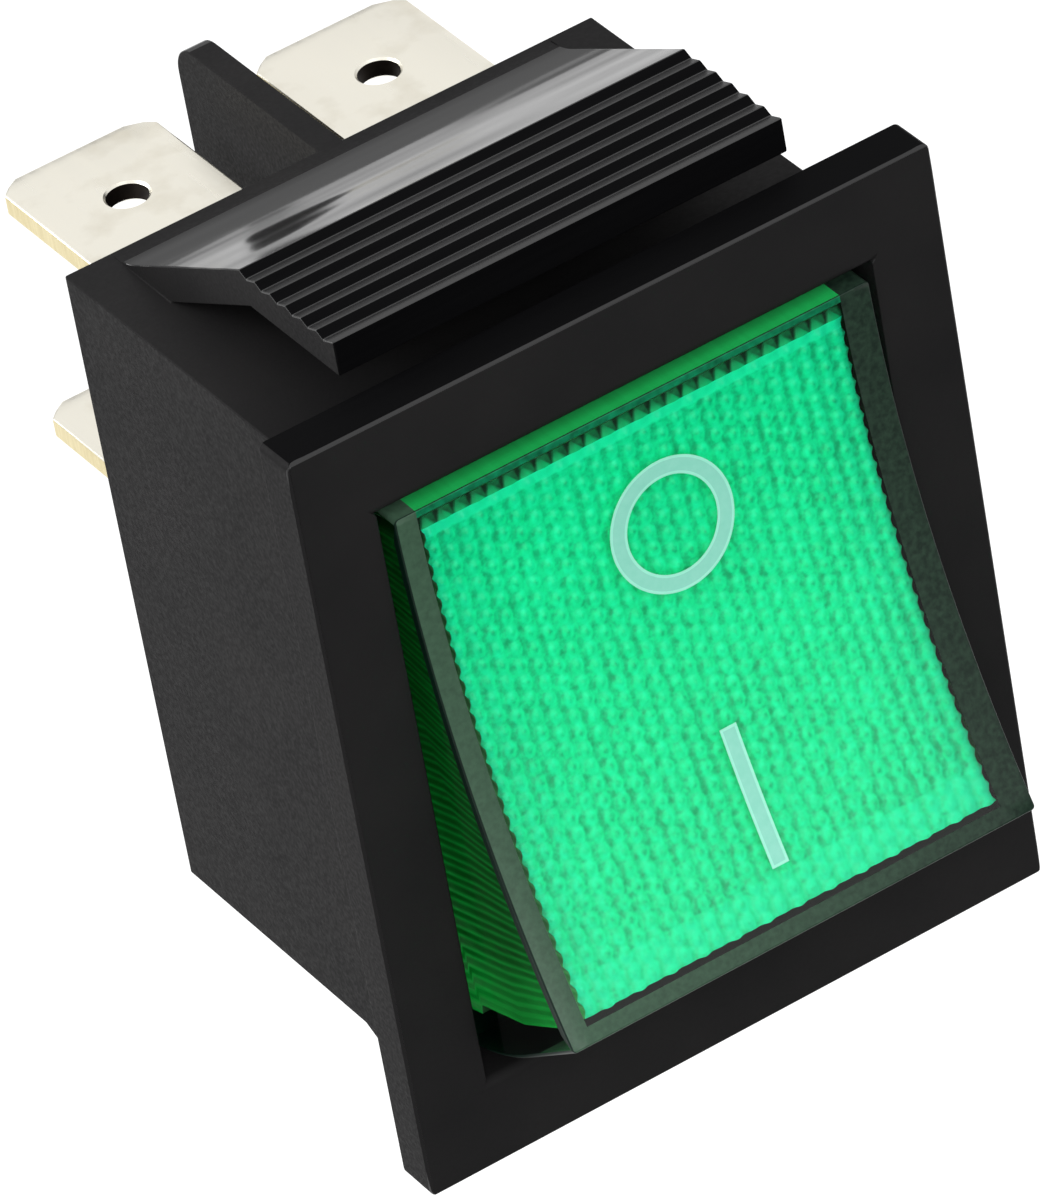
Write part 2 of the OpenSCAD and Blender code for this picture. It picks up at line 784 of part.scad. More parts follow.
housing();
rocker_lens();
lamp_carrier();
lamp_bulb();
lamp_lead_left();
lamp_lead_right();
lamp_resistor();
spring_left();
spring_right();
plunger_left();
plunger_right();
blade_left();
blade_right();
blade_rivet_left();
blade_rivet_right();
load_terminal_left();
load_terminal_right();
line_terminal_left();
line_terminal_right();
fixed_rivet_left();
fixed_rivet_right();
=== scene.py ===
# Illuminated rocker switch: the looks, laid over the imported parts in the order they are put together.
# All sizes are in metres, in the frame of the parts: O end up (+Z), front towards -Y.
import json
import math

import bmesh
import bpy
from mathutils import Matrix, Vector

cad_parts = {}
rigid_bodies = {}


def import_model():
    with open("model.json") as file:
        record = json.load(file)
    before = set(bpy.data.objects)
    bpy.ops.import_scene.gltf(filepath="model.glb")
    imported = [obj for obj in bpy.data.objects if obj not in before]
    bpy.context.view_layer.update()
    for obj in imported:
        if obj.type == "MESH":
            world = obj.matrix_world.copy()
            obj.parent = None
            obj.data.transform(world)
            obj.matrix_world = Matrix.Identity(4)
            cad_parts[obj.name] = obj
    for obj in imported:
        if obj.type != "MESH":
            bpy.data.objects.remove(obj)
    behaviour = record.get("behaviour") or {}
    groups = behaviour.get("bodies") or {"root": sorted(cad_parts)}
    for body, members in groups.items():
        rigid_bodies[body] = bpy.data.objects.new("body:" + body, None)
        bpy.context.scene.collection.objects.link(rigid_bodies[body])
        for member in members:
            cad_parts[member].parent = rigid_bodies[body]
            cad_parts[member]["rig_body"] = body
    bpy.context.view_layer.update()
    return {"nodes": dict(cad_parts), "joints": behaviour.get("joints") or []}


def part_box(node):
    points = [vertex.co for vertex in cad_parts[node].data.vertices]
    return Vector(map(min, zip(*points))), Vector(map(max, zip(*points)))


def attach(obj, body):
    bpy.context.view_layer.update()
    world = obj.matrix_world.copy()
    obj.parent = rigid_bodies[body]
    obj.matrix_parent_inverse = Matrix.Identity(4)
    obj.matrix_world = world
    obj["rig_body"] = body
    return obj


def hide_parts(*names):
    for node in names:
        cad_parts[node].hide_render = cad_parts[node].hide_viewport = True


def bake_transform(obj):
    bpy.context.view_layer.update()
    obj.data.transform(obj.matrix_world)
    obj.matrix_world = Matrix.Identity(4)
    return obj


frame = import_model()


# Housing: bezel, box, two snap wings and the barrier between the tabs, moulded in one shot of black
# nylon 66. The mould was spark-eroded, so the faces are matt; only the two wing ramps were polished.
MM = 0.001
NEAR = 0.01 * MM
SAME_PLACE = 0.001 * MM
HOUSING_EDGE = 0.06 * MM
MOUTH_EDGE = 0.35 * MM
MOUTH_MARGIN = 1 * MM
BEZEL_THICK = 1.9 * MM
WING_RIDGE = 6.8 * MM
WING_FOOT = 15.5 * MM
RIB_DEPTH = 0.25 * MM
SHARP_ANGLE = math.radians(25)
FLAT_ANGLE = math.radians(1)
ROOM_TO_ROUND = 3


def linear(hex_colour):
    """An sRGB hex colour as the linear RGBA that shader sockets take."""
    parts = [int(hex_colour[i:i + 2], 16) / 255 for i in (1, 3, 5)]
    return [c / 12.92 if c <= 0.04045 else ((c + 0.055) / 1.055) ** 2.4 for c in parts] + [1]


def add(tree, kind, inputs=None, **settings):
    """Adds a node, with its settings and with its inputs, each a value or a socket to link."""
    node = tree.nodes.new(kind)
    for name, value in settings.items():
        setattr(node, name, value)
    for name, value in (inputs or {}).items():
        socket = next((s for s in node.inputs if s.identifier == name), None) or node.inputs[name]
        if isinstance(value, bpy.types.NodeSocket):
            tree.links.new(value, socket)
        else:
            socket.default_value = value
    return node


def new_material(name):
    """An empty node material and the Object coordinates that its patterns read."""
    made = bpy.data.materials.new(name)
    made.use_nodes = True
    made.node_tree.nodes.clear()
    return made, made.node_tree, add(made.node_tree, "ShaderNodeTexCoord").outputs["Object"]


def finished_mesh(piece):
    """The piece's mesh with its modifiers in it."""
    graph = bpy.context.evaluated_depsgraph_get()
    mesh = bpy.data.meshes.new_from_object(piece.evaluated_get(graph))
    piece.modifiers.clear()
    return mesh


def new_piece(name, mesh):
    piece = bpy.data.objects.new(name, mesh)
    bpy.context.scene.collection.objects.link(piece)
    return piece


def round_edges(piece, width, segments=3):
    """Rounds the edges that carry a weight, and keeps the flat faces flat."""
    piece.data.shade_smooth()
    bevel = piece.modifiers.new("round_edges", "BEVEL")
    bevel.width = width
    bevel.segments = segments
    bevel.limit_method = "WEIGHT"
    bevel.use_clamp_overlap = False
    bevel.harden_normals = True
    mesh = finished_mesh(piece)
    mesh.name = piece.name
    piece.data = mesh


def softened_copy(node, name, rounding):
    """Stands for a CAD piece: the same form, each sharp edge rounded where its faces have the room."""
    mesh = frame["nodes"][node].data.copy()
    for attribute in ("custom_normal", "sharp_edge", "sharp_face"):
        if attribute in mesh.attributes:
            mesh.attributes.remove(mesh.attributes[attribute])
    form = bmesh.new()
    form.from_mesh(mesh)
    bmesh.ops.remove_doubles(form, verts=form.verts, dist=SAME_PLACE)
    bmesh.ops.dissolve_limit(form, angle_limit=FLAT_ANGLE, verts=form.verts, edges=form.edges)
    weight = form.edges.layers.float.new("bevel_weight_edge")
    for edge in form.edges:
        if edge.calc_face_angle(0) > SHARP_ANGLE:
            room = min(face.calc_area() for face in edge.link_faces) / edge.calc_length()
            edge.smooth = room > ROOM_TO_ROUND * rounding(edge)
            edge[weight] = edge.smooth * rounding(edge) / MM
    form.to_mesh(mesh)
    form.free()
    piece = new_piece(name, mesh)
    round_edges(piece, MM)
    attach(piece, frame["nodes"][node]["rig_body"])
    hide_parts(node)
    return piece


# Spark-eroded nylon 66: near black, with a fine even grain that breaks up its soft sheen.
NYLON_IOR = 1.53
MATT_NYLON_DARK = "#1c1c1d"
MATT_NYLON_LIGHT = "#292828"
GRAIN_SIZE = 0.16 * MM
GRAIN_DEPTH = 0.03 * MM
FLOW_SIZE = 5 * MM
matt_nylon, tree, place = new_material("nylon_66_spark_eroded")
flow = add(tree, "ShaderNodeTexNoise", {"Vector": place, "Scale": 1 / FLOW_SIZE, "Detail": 4})
grain = add(tree, "ShaderNodeTexNoise", {"Vector": place, "Scale": 1 / GRAIN_SIZE, "Detail": 2})
tone = add(tree, "ShaderNodeMix", {
    "Factor_Float": flow.outputs["Fac"], "A_Color": linear(MATT_NYLON_DARK),
    "B_Color": linear(MATT_NYLON_LIGHT)}, data_type="RGBA")
sheen = add(tree, "ShaderNodeMapRange", {
    "Value": grain.outputs["Fac"], "From Min": 0.3, "From Max": 0.7, "To Min": 0.45, "To Max": 0.65})
bumps = add(tree, "ShaderNodeBump", {
    "Height": grain.outputs["Fac"], "Strength": 0.25, "Distance": GRAIN_DEPTH})
shader = add(tree, "ShaderNodeBsdfPrincipled", {
    "Base Color": tone.outputs[2], "Roughness": sheen.outputs[0], "Normal": bumps.outputs[0],
    "IOR": NYLON_IOR, "Specular IOR Level": 0.035})
add(tree, "ShaderNodeOutputMaterial", {"Surface": shader.outputs[0]})

# Polished nylon 66: the same black, smooth enough to mirror what stands behind the switch, a little
# wavy along the ramp and hollowed at its foot.
POLISHED_NYLON = "#0d0d0e"
WAVE_SIZE = 2.5 * MM
WAVE_STRETCH = (0.15, 1, 1)
WAVE_SHARE = 0.19
FOOT_LENGTH = 5 * MM
FOOT_HOLLOW = 0.8 * MM
polished_nylon, tree, place = new_material("nylon_66_polished")
haze = add(tree, "ShaderNodeTexNoise", {"Vector": place, "Scale": 1 / FLOW_SIZE, "Detail": 3})
sheen = add(tree, "ShaderNodeMapRange", {
    "Value": haze.outputs["Fac"], "From Min": 0.3, "From Max": 0.7, "To Min": 0.1, "To Max": 0.18})
drawn = add(tree, "ShaderNodeMapping", {"Vector": place, "Scale": WAVE_STRETCH})
wave = add(tree, "ShaderNodeTexNoise", {"Vector": drawn.outputs[0], "Scale": 1 / WAVE_SIZE, "Detail": 1})
depth = add(tree, "ShaderNodeSeparateXYZ", {0: place})
foot = add(tree, "ShaderNodeMapRange", {
    "Value": depth.outputs["Y"], "From Min": WING_FOOT - FOOT_LENGTH, "From Max": WING_FOOT})
foot = add(tree, "ShaderNodeMath", {0: foot.outputs[0], 1: 2}, operation="POWER")
height = add(tree, "ShaderNodeMath", {
    0: wave.outputs["Fac"], 1: WAVE_SHARE, 2: foot.outputs[0]}, operation="MULTIPLY_ADD")
bumps = add(tree, "ShaderNodeBump", {
    "Height": height.outputs[0], "Strength": 1, "Distance": FOOT_HOLLOW})
shader = add(tree, "ShaderNodeBsdfPrincipled", {
    "Base Color": linear(POLISHED_NYLON), "Roughness": sheen.outputs[0], "Normal": bumps.outputs[0],
    "IOR": NYLON_IOR, "Specular IOR Level": 0.45})
add(tree, "ShaderNodeOutputMaterial", {"Surface": shader.outputs[0]})


CUTTER_MARK = 0.25 * MM
CUTTER_RUN = (0.05, 1, 1)


def cut_nylon(name, dark, light, smoothest, level):
    """Black nylon in the given colours and gloss, with fine cutter marks along the ribs."""
    made, nodes, spot = new_material(name)
    run = add(nodes, "ShaderNodeMapping", {"Vector": spot, "Scale": CUTTER_RUN})
    marks = add(nodes, "ShaderNodeTexNoise", {
        "Vector": run.outputs[0], "Scale": 1 / CUTTER_MARK, "Detail": 3})
    shade = add(nodes, "ShaderNodeMix", {
        "Factor_Float": marks.outputs["Fac"], "A_Color": linear(dark), "B_Color": linear(light)},
        data_type="RGBA")
    gloss = add(nodes, "ShaderNodeMapRange", {
        "Value": marks.outputs["Fac"], "To Min": smoothest, "To Max": smoothest + 0.15})
    nylon = add(nodes, "ShaderNodeBsdfPrincipled", {
        "Base Color": shade.outputs[2], "Roughness": gloss.outputs[0], "IOR": NYLON_IOR,
        "Specular IOR Level": level})
    add(nodes, "ShaderNodeOutputMaterial", {"Surface": nylon.outputs[0]})
    return made


# The ribs' backs and the bezel's edge keep a satin shine and show as grey lines. The ribs' steep fronts,
# the wing's front and the bezel's top and bottom get painted shade: a near-black copy of the nylon with
# almost no shine.
satin_nylon = cut_nylon("nylon_66_rib_backs", "#101011", "#1a1a1b", 0.28, 0.5)
shaded_nylon = cut_nylon("nylon_66_painted_shade", "#070708", "#0c0c0d", 0.5, 0.02)
MATT, POLISHED, SATIN, DEEP = range(4)


def housing_rounding(edge):
    """The bezel's mouth, which leads the rocker in, is rounder than the other edges."""
    low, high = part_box("housing")
    mouth_half = high.x - MOUTH_MARGIN
    at_mouth = all(v.co.y < low.y + NEAR and abs(v.co.x) < mouth_half for v in edge.verts)
    return MOUTH_EDGE if at_mouth else HOUSING_EDGE


housing = softened_copy("housing", "housing_moulding", housing_rounding)
housing.data.materials.clear()
for material in (matt_nylon, polished_nylon, satin_nylon, shaded_nylon):
    housing.data.materials.append(material)
body_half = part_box("line_terminal_left")[1].z
wing_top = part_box("housing")[1].z
bezel_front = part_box("housing")[0].y
FACES_FRONT = -0.95
EDGE_LEAN = -0.3
RAMP_LEAN = 0.2
RIB_FRONT_LEAN = -0.15
WING_FRONT_LEAN = -0.5
LEVEL = 0.9
# Painted shade: the faces given the near-black copy (DEEP) are the bezel's top and bottom, the ribs' steep
# fronts and the wing's front.
for face in housing.data.polygons:
    lean = face.normal.y
    outward = face.normal.z * face.center.z > 0
    if abs(face.center.z) < body_half:
        face.material_index = MATT
    elif face.center.y < bezel_front + BEZEL_THICK:
        if outward and FACES_FRONT < lean < EDGE_LEAN:
            face.material_index = SATIN
        else:
            face.material_index = DEEP if outward and abs(face.normal.z) > LEVEL else MATT
    elif face.center.y > WING_RIDGE:
        face.material_index = POLISHED if lean > RAMP_LEAN and outward else MATT
    elif abs(face.center.z) > wing_top - RIB_DEPTH:
        face.material_index = SATIN if lean > RIB_FRONT_LEAN else DEEP
    elif lean < WING_FRONT_LEAN and face.center.y > 0:
        face.material_index = DEEP


# Terminals: two line tabs and two load tabs, stamped from 0.8 mm brass strip, tin plated and pressed
# through the floor of the housing. The line tabs fold over inside, the load tabs hold the blades.
TAB_EDGE = 0.09 * MM
TIN_PALE = "#f8f4e7"
TIN_DULL = "#ddd6c4"
STREAK_SIZE = 0.35 * MM
STREAK_STRETCH = 14
STREAK_DEPTH = 0.02 * MM
PATCH_SIZE = 2.4 * MM

# Tin plate, satin: cream-white metal with faint rolling streaks and a few dull patches.
tin_plate, tree, place = new_material("tin_plated_brass")
stretch = add(tree, "ShaderNodeMapping", {"Vector": place, "Scale": (1, 1 / STREAK_STRETCH, 1)})
streak = add(tree, "ShaderNodeTexNoise", {
    "Vector": stretch.outputs[0], "Scale": 1 / STREAK_SIZE, "Detail": 3})
patch = add(tree, "ShaderNodeTexNoise", {"Vector": place, "Scale": 1 / PATCH_SIZE, "Detail": 5})
dulled = add(tree, "ShaderNodeMapRange", {
    "Value": patch.outputs["Fac"], "From Min": 0.5, "From Max": 0.8})
tone = add(tree, "ShaderNodeMix", {
    "Factor_Float": dulled.outputs[0], "A_Color": linear(TIN_PALE), "B_Color": linear(TIN_DULL)},
    data_type="RGBA")
sheen = add(tree, "ShaderNodeMapRange", {
    "Value": streak.outputs["Fac"], "From Min": 0.3, "From Max": 0.7, "To Min": 0.26, "To Max": 0.42})
bumps = add(tree, "ShaderNodeBump", {
    "Height": streak.outputs["Fac"], "Strength": 0.15, "Distance": STREAK_DEPTH})
shader = add(tree, "ShaderNodeBsdfPrincipled", {
    "Base Color": tone.outputs[2], "Metallic": 1, "Roughness": sheen.outputs[0],
    "Normal": bumps.outputs[0]})
add(tree, "ShaderNodeOutputMaterial", {"Surface": shader.outputs[0]})

# Sheared edge: the punch left the brass bare there, pale yellow and rougher than the plate.
BRASS_DARK = "#cfc193"
BRASS_PALE = "#efe4bd"
SCRATCH_SIZE = 0.15 * MM
SCRATCH_RUN = (1, 1, 0.15)
sheared_brass, tree, place = new_material("brass_sheared_edge")
scratch = add(tree, "ShaderNodeMapping", {"Vector": place, "Scale": SCRATCH_RUN})
scratch = add(tree, "ShaderNodeTexNoise", {
    "Vector": scratch.outputs[0], "Scale": 1 / SCRATCH_SIZE, "Detail": 3})
tone = add(tree, "ShaderNodeMix", {
    "Factor_Float": scratch.outputs["Fac"], "A_Color": linear(BRASS_DARK),
    "B_Color": linear(BRASS_PALE)}, data_type="RGBA")
shader = add(tree, "ShaderNodeBsdfPrincipled", {
    "Base Color": tone.outputs[2], "Metallic": 1, "Roughness": 0.45})
add(tree, "ShaderNodeOutputMaterial", {"Surface": shader.outputs[0]})

# Wall of a tab's hole: painted shade, a near-black brownish metal standing in for the shade inside the
# hole.
HOLE_SHADE_DARK = "#1d1a1c"
HOLE_SHADE_BROWN = "#3a332c"
HOLE_MOTTLE_SIZE = 0.3 * MM
hole_shade_brass, tree, place = new_material("brass_painted_hole_shade")
hole_mottle = add(tree, "ShaderNodeTexNoise", {"Vector": place, "Scale": 1 / HOLE_MOTTLE_SIZE, "Detail": 3})
tone = add(tree, "ShaderNodeMix", {
    "Factor_Float": hole_mottle.outputs["Fac"], "A_Color": linear(HOLE_SHADE_DARK),
    "B_Color": linear(HOLE_SHADE_BROWN)}, data_type="RGBA")
shader = add(tree, "ShaderNodeBsdfPrincipled", {
    "Base Color": tone.outputs[2], "Metallic": 1, "Roughness": 0.6})
add(tree, "ShaderNodeOutputMaterial", {"Surface": shader.outputs[0]})

PLATED, SHEARED, HOLE_SHADE = range(3)
HOLE_FROM_TIP = 4 * MM
HOLE_REACH = 0.8 * MM
UPRIGHT = 0.4
for row in ("line", "load"):
    for side in ("left", "right"):
        tab = softened_copy(f"{row}_terminal_{side}", f"{row}_tab_{side}", lambda edge: TAB_EDGE)
        tab.data.materials.clear()
        for material in (tin_plate, sheared_brass, hole_shade_brass):
            tab.data.materials.append(material)
        low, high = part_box(f"{row}_terminal_{side}")
        hole = Vector(((low.x + high.x) / 2, high.y - HOLE_FROM_TIP))
        for face in tab.data.polygons:
            in_hole = (face.center.xy - hole).length < HOLE_REACH
            # Upright faces round the hole get the painted hole shade, the other upright faces the sheared
            # brass.
            if abs(face.normal.z) < UPRIGHT:
                face.material_index = HOLE_SHADE if in_hole else SHEARED
            else:
                face.material_index = PLATED


# Rocker: one moulding of clear green polycarbonate, hollow from behind, with a pivot pin on each side.
# Rows of small prisms behind its hollowed front catch the light, and the side walls are fluted.
hinge = next(j for j in frame["joints"] if j["name"] == "rocker_tilt")
ROCKER_TILT = math.radians(hinge["range_deg"][1] / 2)
ROCKER_FRAME = Matrix.Translation(hinge["pos_m"]) @ Matrix.Rotation(math.pi / 2 - ROCKER_TILT, 4, "X")
FRONT_HALF = 10 * MM
FRONT_HEIGHT = 7.44 * MM
DISH_RADIUS = 42 * MM
FLANK_HEIGHT = 3.5 * MM
END_RADIUS = 11.72 * MM
SKIRT_DEPTH = 1.2 * MM
LENS_HALF = 9.505 * MM
END_THICK = 1.2 * MM
SIDE_THICK = 1.05 * MM
FRONT_WALL = 0.75 * MM
STEP_HEIGHT = 0.5 * MM
STEP_WIDTH = 0.3 * MM
PIN_RADIUS = 1.4 * MM
PIN_REACH = 0.79 * MM
BOSS_RADIUS = 2.3 * MM
PIN_SEGMENTS = 48
CORNER_ROUND = 0.18 * MM
RIM_ROUND = 0.08 * MM
SHADE_BAND = 0.3 * MM
O_END_ROUND = 0.05 * MM
PRISM_COLUMNS = 26
PRISM_ROWS = 29
PRISM_DEPTH = 0.18 * MM
PRISM_DIP = 0.7
PRISM_FACETS = 6
O_END_PRISMS = 9.15 * MM
I_END_PRISMS = -9.38 * MM
O_END_COMB = 9.62 * MM
O_END_WINDOW = 9.75 * MM
FLUTE_DEPTH = 0.15 * MM
FLUTE_SLANT = 0.9 * MM
COMB_TOOTH = 0.3 * MM
TOP_GLINT = 0.4 * MM
LOW_GLINT = 1.3 * MM
LIT_END = 2.2 * MM
O_EDGE = FRONT_HALF - O_END_ROUND
DISH_CENTRE = FRONT_HEIGHT + math.sqrt(DISH_RADIUS ** 2 - FRONT_HALF ** 2)
FLANK_HALF = math.sqrt(END_RADIUS ** 2 - FLANK_HEIGHT ** 2)
SEAT_HALF = FLANK_HALF - END_THICK
HOLLOW_HALF = LENS_HALF - SIDE_THICK
WINDOW_LEFT = -HOLLOW_HALF - 0.22 * MM
WINDOW_RIGHT = HOLLOW_HALF - 0.15 * MM


def dish_height(along, depth=0):
    """Height of the hollow front over the rocker's axis, or of a surface that deep behind it."""
    return DISH_CENTRE - math.sqrt((DISH_RADIUS + depth) ** 2 - along ** 2)


# Clear green polycarbonate: glossy and see-through, so the prisms and flutes behind it show.
POLYCARBONATE_IOR = 1.58
CLEAR_TINT = "#d4f3e4"
RIPPLE_SIZE = 0.8 * MM
polished_green, tree, place = new_material("polycarbonate_clear_polished")
ripple = add(tree, "ShaderNodeTexNoise", {"Vector": place, "Scale": 1 / RIPPLE_SIZE, "Detail": 2})
sheen = add(tree, "ShaderNodeMapRange", {
    "Value": ripple.outputs["Fac"], "To Min": 0.02, "To Max": 0.08})
clear = add(tree, "ShaderNodeBsdfPrincipled", {
    "Base Color": linear(CLEAR_TINT), "Roughness": sheen.outputs[0], "IOR": POLYCARBONATE_IOR,
    "Transmission Weight": 1})
passing = add(tree, "ShaderNodeBsdfTransparent", {"Color": linear(CLEAR_TINT)})
path = add(tree, "ShaderNodeLightPath")
shader = add(tree, "ShaderNodeMixShader", {
    0: path.outputs["Is Shadow Ray"], 1: clear.outputs[0], 2: passing.outputs[0]})
add(tree, "ShaderNodeOutputMaterial", {"Surface": shader.outputs[0]})

# Grained rim: sandblasted in the mould, so the thick edge round the prisms has a fine grit. Its dull grey
# green is opaque painted shade, for the dark that the clear edge shows, and is painted deeper on the right.
RIM_DARK = "#1b2a22"
RIM_LIGHT = "#43604c"
GRIT_SIZE = 0.22 * MM
GRIT_DEPTH = 0.03 * MM
grain_and_shade_rim, tree, place = new_material("polycarbonate_grained_rim")
grit = add(tree, "ShaderNodeTexNoise", {"Vector": place, "Scale": 1 / GRIT_SIZE, "Detail": 4})
across = add(tree, "ShaderNodeSeparateXYZ", {0: place})
# Painted shade: lighter on the left, darker on the right, as the light falls.
lit = add(tree, "ShaderNodeMapRange", {
    "Value": across.outputs["X"], "From Min": -LENS_HALF, "From Max": LENS_HALF, "To Min": 0.45,
    "To Max": -0.3})
share = add(tree, "ShaderNodeMath", {
    0: grit.outputs["Fac"], 1: 0.8, 2: lit.outputs[0]}, operation="MULTIPLY_ADD")
tone = add(tree, "ShaderNodeMix", {
    "Factor_Float": share.outputs[0], "A_Color": linear(RIM_DARK), "B_Color": linear(RIM_LIGHT)},
    data_type="RGBA")
bumps = add(tree, "ShaderNodeBump", {
    "Height": grit.outputs["Fac"], "Strength": 0.3, "Distance": GRIT_DEPTH})
shader = add(tree, "ShaderNodeBsdfPrincipled", {
    "Base Color": tone.outputs[2], "Roughness": 0.38, "Normal": bumps.outputs[0],
    "IOR": POLYCARBONATE_IOR, "Specular IOR Level": 0.2})
add(tree, "ShaderNodeOutputMaterial", {"Surface": shader.outputs[0]})

# Prism facets: light turned back inside the clear plastic, painted as a bright green. By its height each
# prism gets a painted highlight ring round its crest and a painted darker crest and valleys; the rows at
# both ends are painted brighter, and each facet is a little paler or deeper green at random.
GREEN_DEEP = "#00b080"
GREEN_MID = "#04ecae"
GREEN_PALE = "#1cffca"
GLOW_SIZE = 2.5 * MM
SPARKLE_SIZE = 0.3 * MM
VALLEY_LEVEL = 0.3
CREST_LEVEL = 0.4
SLOPE_LEVELS = ((0.12, 0.35), (0.35, 0.7), (0.6, 0.75), (0.85, 0.5))
prism_green, tree, place = new_material("polycarbonate_green_prisms")
rise = add(tree, "ShaderNodeAttribute", attribute_name="rise")
ring_ramp = add(tree, "ShaderNodeValToRGB", {"Fac": rise.outputs["Fac"]})
ring_ramp.color_ramp.elements[0].color = (VALLEY_LEVEL, VALLEY_LEVEL, VALLEY_LEVEL, 1)
ring_ramp.color_ramp.elements[1].color = (CREST_LEVEL, CREST_LEVEL, CREST_LEVEL, 1)
for spot, level in SLOPE_LEVELS:
    ring_ramp.color_ramp.elements.new(spot).color = (level, level, level, 1)
edge_glint = add(tree, "ShaderNodeAttribute", attribute_name="glint")
glow = add(tree, "ShaderNodeTexNoise", {"Vector": place, "Scale": 1 / GLOW_SIZE, "Detail": 2})
sparkle = add(tree, "ShaderNodeTexNoise", {"Vector": place, "Scale": 1 / SPARKLE_SIZE, "Detail": 2})
glint = add(tree, "ShaderNodeMath", {0: glow.outputs["Fac"], 1: 0.4, 2: -0.2}, operation="MULTIPLY_ADD")
shift = add(tree, "ShaderNodeMath", {
    0: sparkle.outputs["Fac"], 1: 1.4, 2: -0.7}, operation="MULTIPLY_ADD")
for part in (shift.outputs[0], edge_glint.outputs["Fac"], ring_ramp.outputs["Color"]):
    glint = add(tree, "ShaderNodeMath", {0: glint.outputs[0], 1: part}, operation="ADD")
tone = add(tree, "ShaderNodeValToRGB", {"Fac": glint.outputs[0]})
tone.color_ramp.elements[0].color = linear(GREEN_DEEP)
tone.color_ramp.elements[1].color = linear(GREEN_PALE)
tone.color_ramp.elements.new(0.5).color = linear(GREEN_MID)
shader = add(tree, "ShaderNodeBsdfPrincipled", {
    "Base Color": tone.outputs["Color"], "Roughness": 0.35, "IOR": POLYCARBONATE_IOR,
    "Specular IOR Level": 0.15})
add(tree, "ShaderNodeOutputMaterial", {"Surface": shader.outputs[0]})


DRAW_MARK = 0.3 * MM
DRAW_RUN = (1, 0.1, 1)


def wall_green(name, dark, light, sheen):
    """Plain walls of the rocker: deep green with drawing marks, and painted light and shade from the flute
    attribute, such as a paler crest on each flute.
    """
    made, nodes, spot = new_material(name)
    drawn = add(nodes, "ShaderNodeMapping", {"Vector": spot, "Scale": DRAW_RUN})
    marks = add(nodes, "ShaderNodeTexNoise", {
        "Vector": drawn.outputs[0], "Scale": 1 / DRAW_MARK, "Detail": 2})
    flute = add(nodes, "ShaderNodeAttribute", attribute_name="flute")
    share = add(nodes, "ShaderNodeMath", {
        0: marks.outputs["Fac"], 1: 0.4, 2: flute.outputs["Fac"]}, operation="MULTIPLY_ADD")
    shade = add(nodes, "ShaderNodeMix", {
        "Factor_Float": share.outputs[0], "A_Color": linear(dark), "B_Color": linear(light)},
        data_type="RGBA")
    wall = add(nodes, "ShaderNodeBsdfPrincipled", {
        "Base Color": shade.outputs[2], "Roughness": 0.4, "IOR": POLYCARBONATE_IOR,
        "Specular IOR Level": 0.2, "Sheen Weight": sheen, "Sheen Roughness": 0.4})
    add(nodes, "ShaderNodeOutputMaterial", {"Surface": wall.outputs[0]})
    return made


side_wall_green = wall_green("polycarbonate_green_side_walls", "#005010", "#18c850", 0.2)
# Painted light: the end walls and the flanks between the window's edges get a paler copy of the wall green.
end_wall_green = wall_green("polycarbonate_green_end_walls", "#00a84a", "#20dc70", 0.2)

# Comb green: the prisms run out there in teeth, with painted shade between them and painted light at their
# roots.
comb_green = wall_green("polycarbonate_green_comb", "#042c1a", "#10e498", 0)

# Painted dark green: the bosses, the pins, the rounded ends and the walls' front edge get painted shade,
# a near-black green standing in for the dark that the clear plastic shows there.
painted_dark_green = wall_green("polycarbonate_green_painted_dark", "#03130d", "#0c3a2a", 0)
ROCKER_FINISHES = (polished_green, prism_green, side_wall_green, end_wall_green, comb_green,
                   grain_and_shade_rim, painted_dark_green)
CLEAR, PRISM, SIDE_WALL, END_WALL, COMB, GRAIN_AND_SHADE, THICK = range(len(ROCKER_FINISHES))


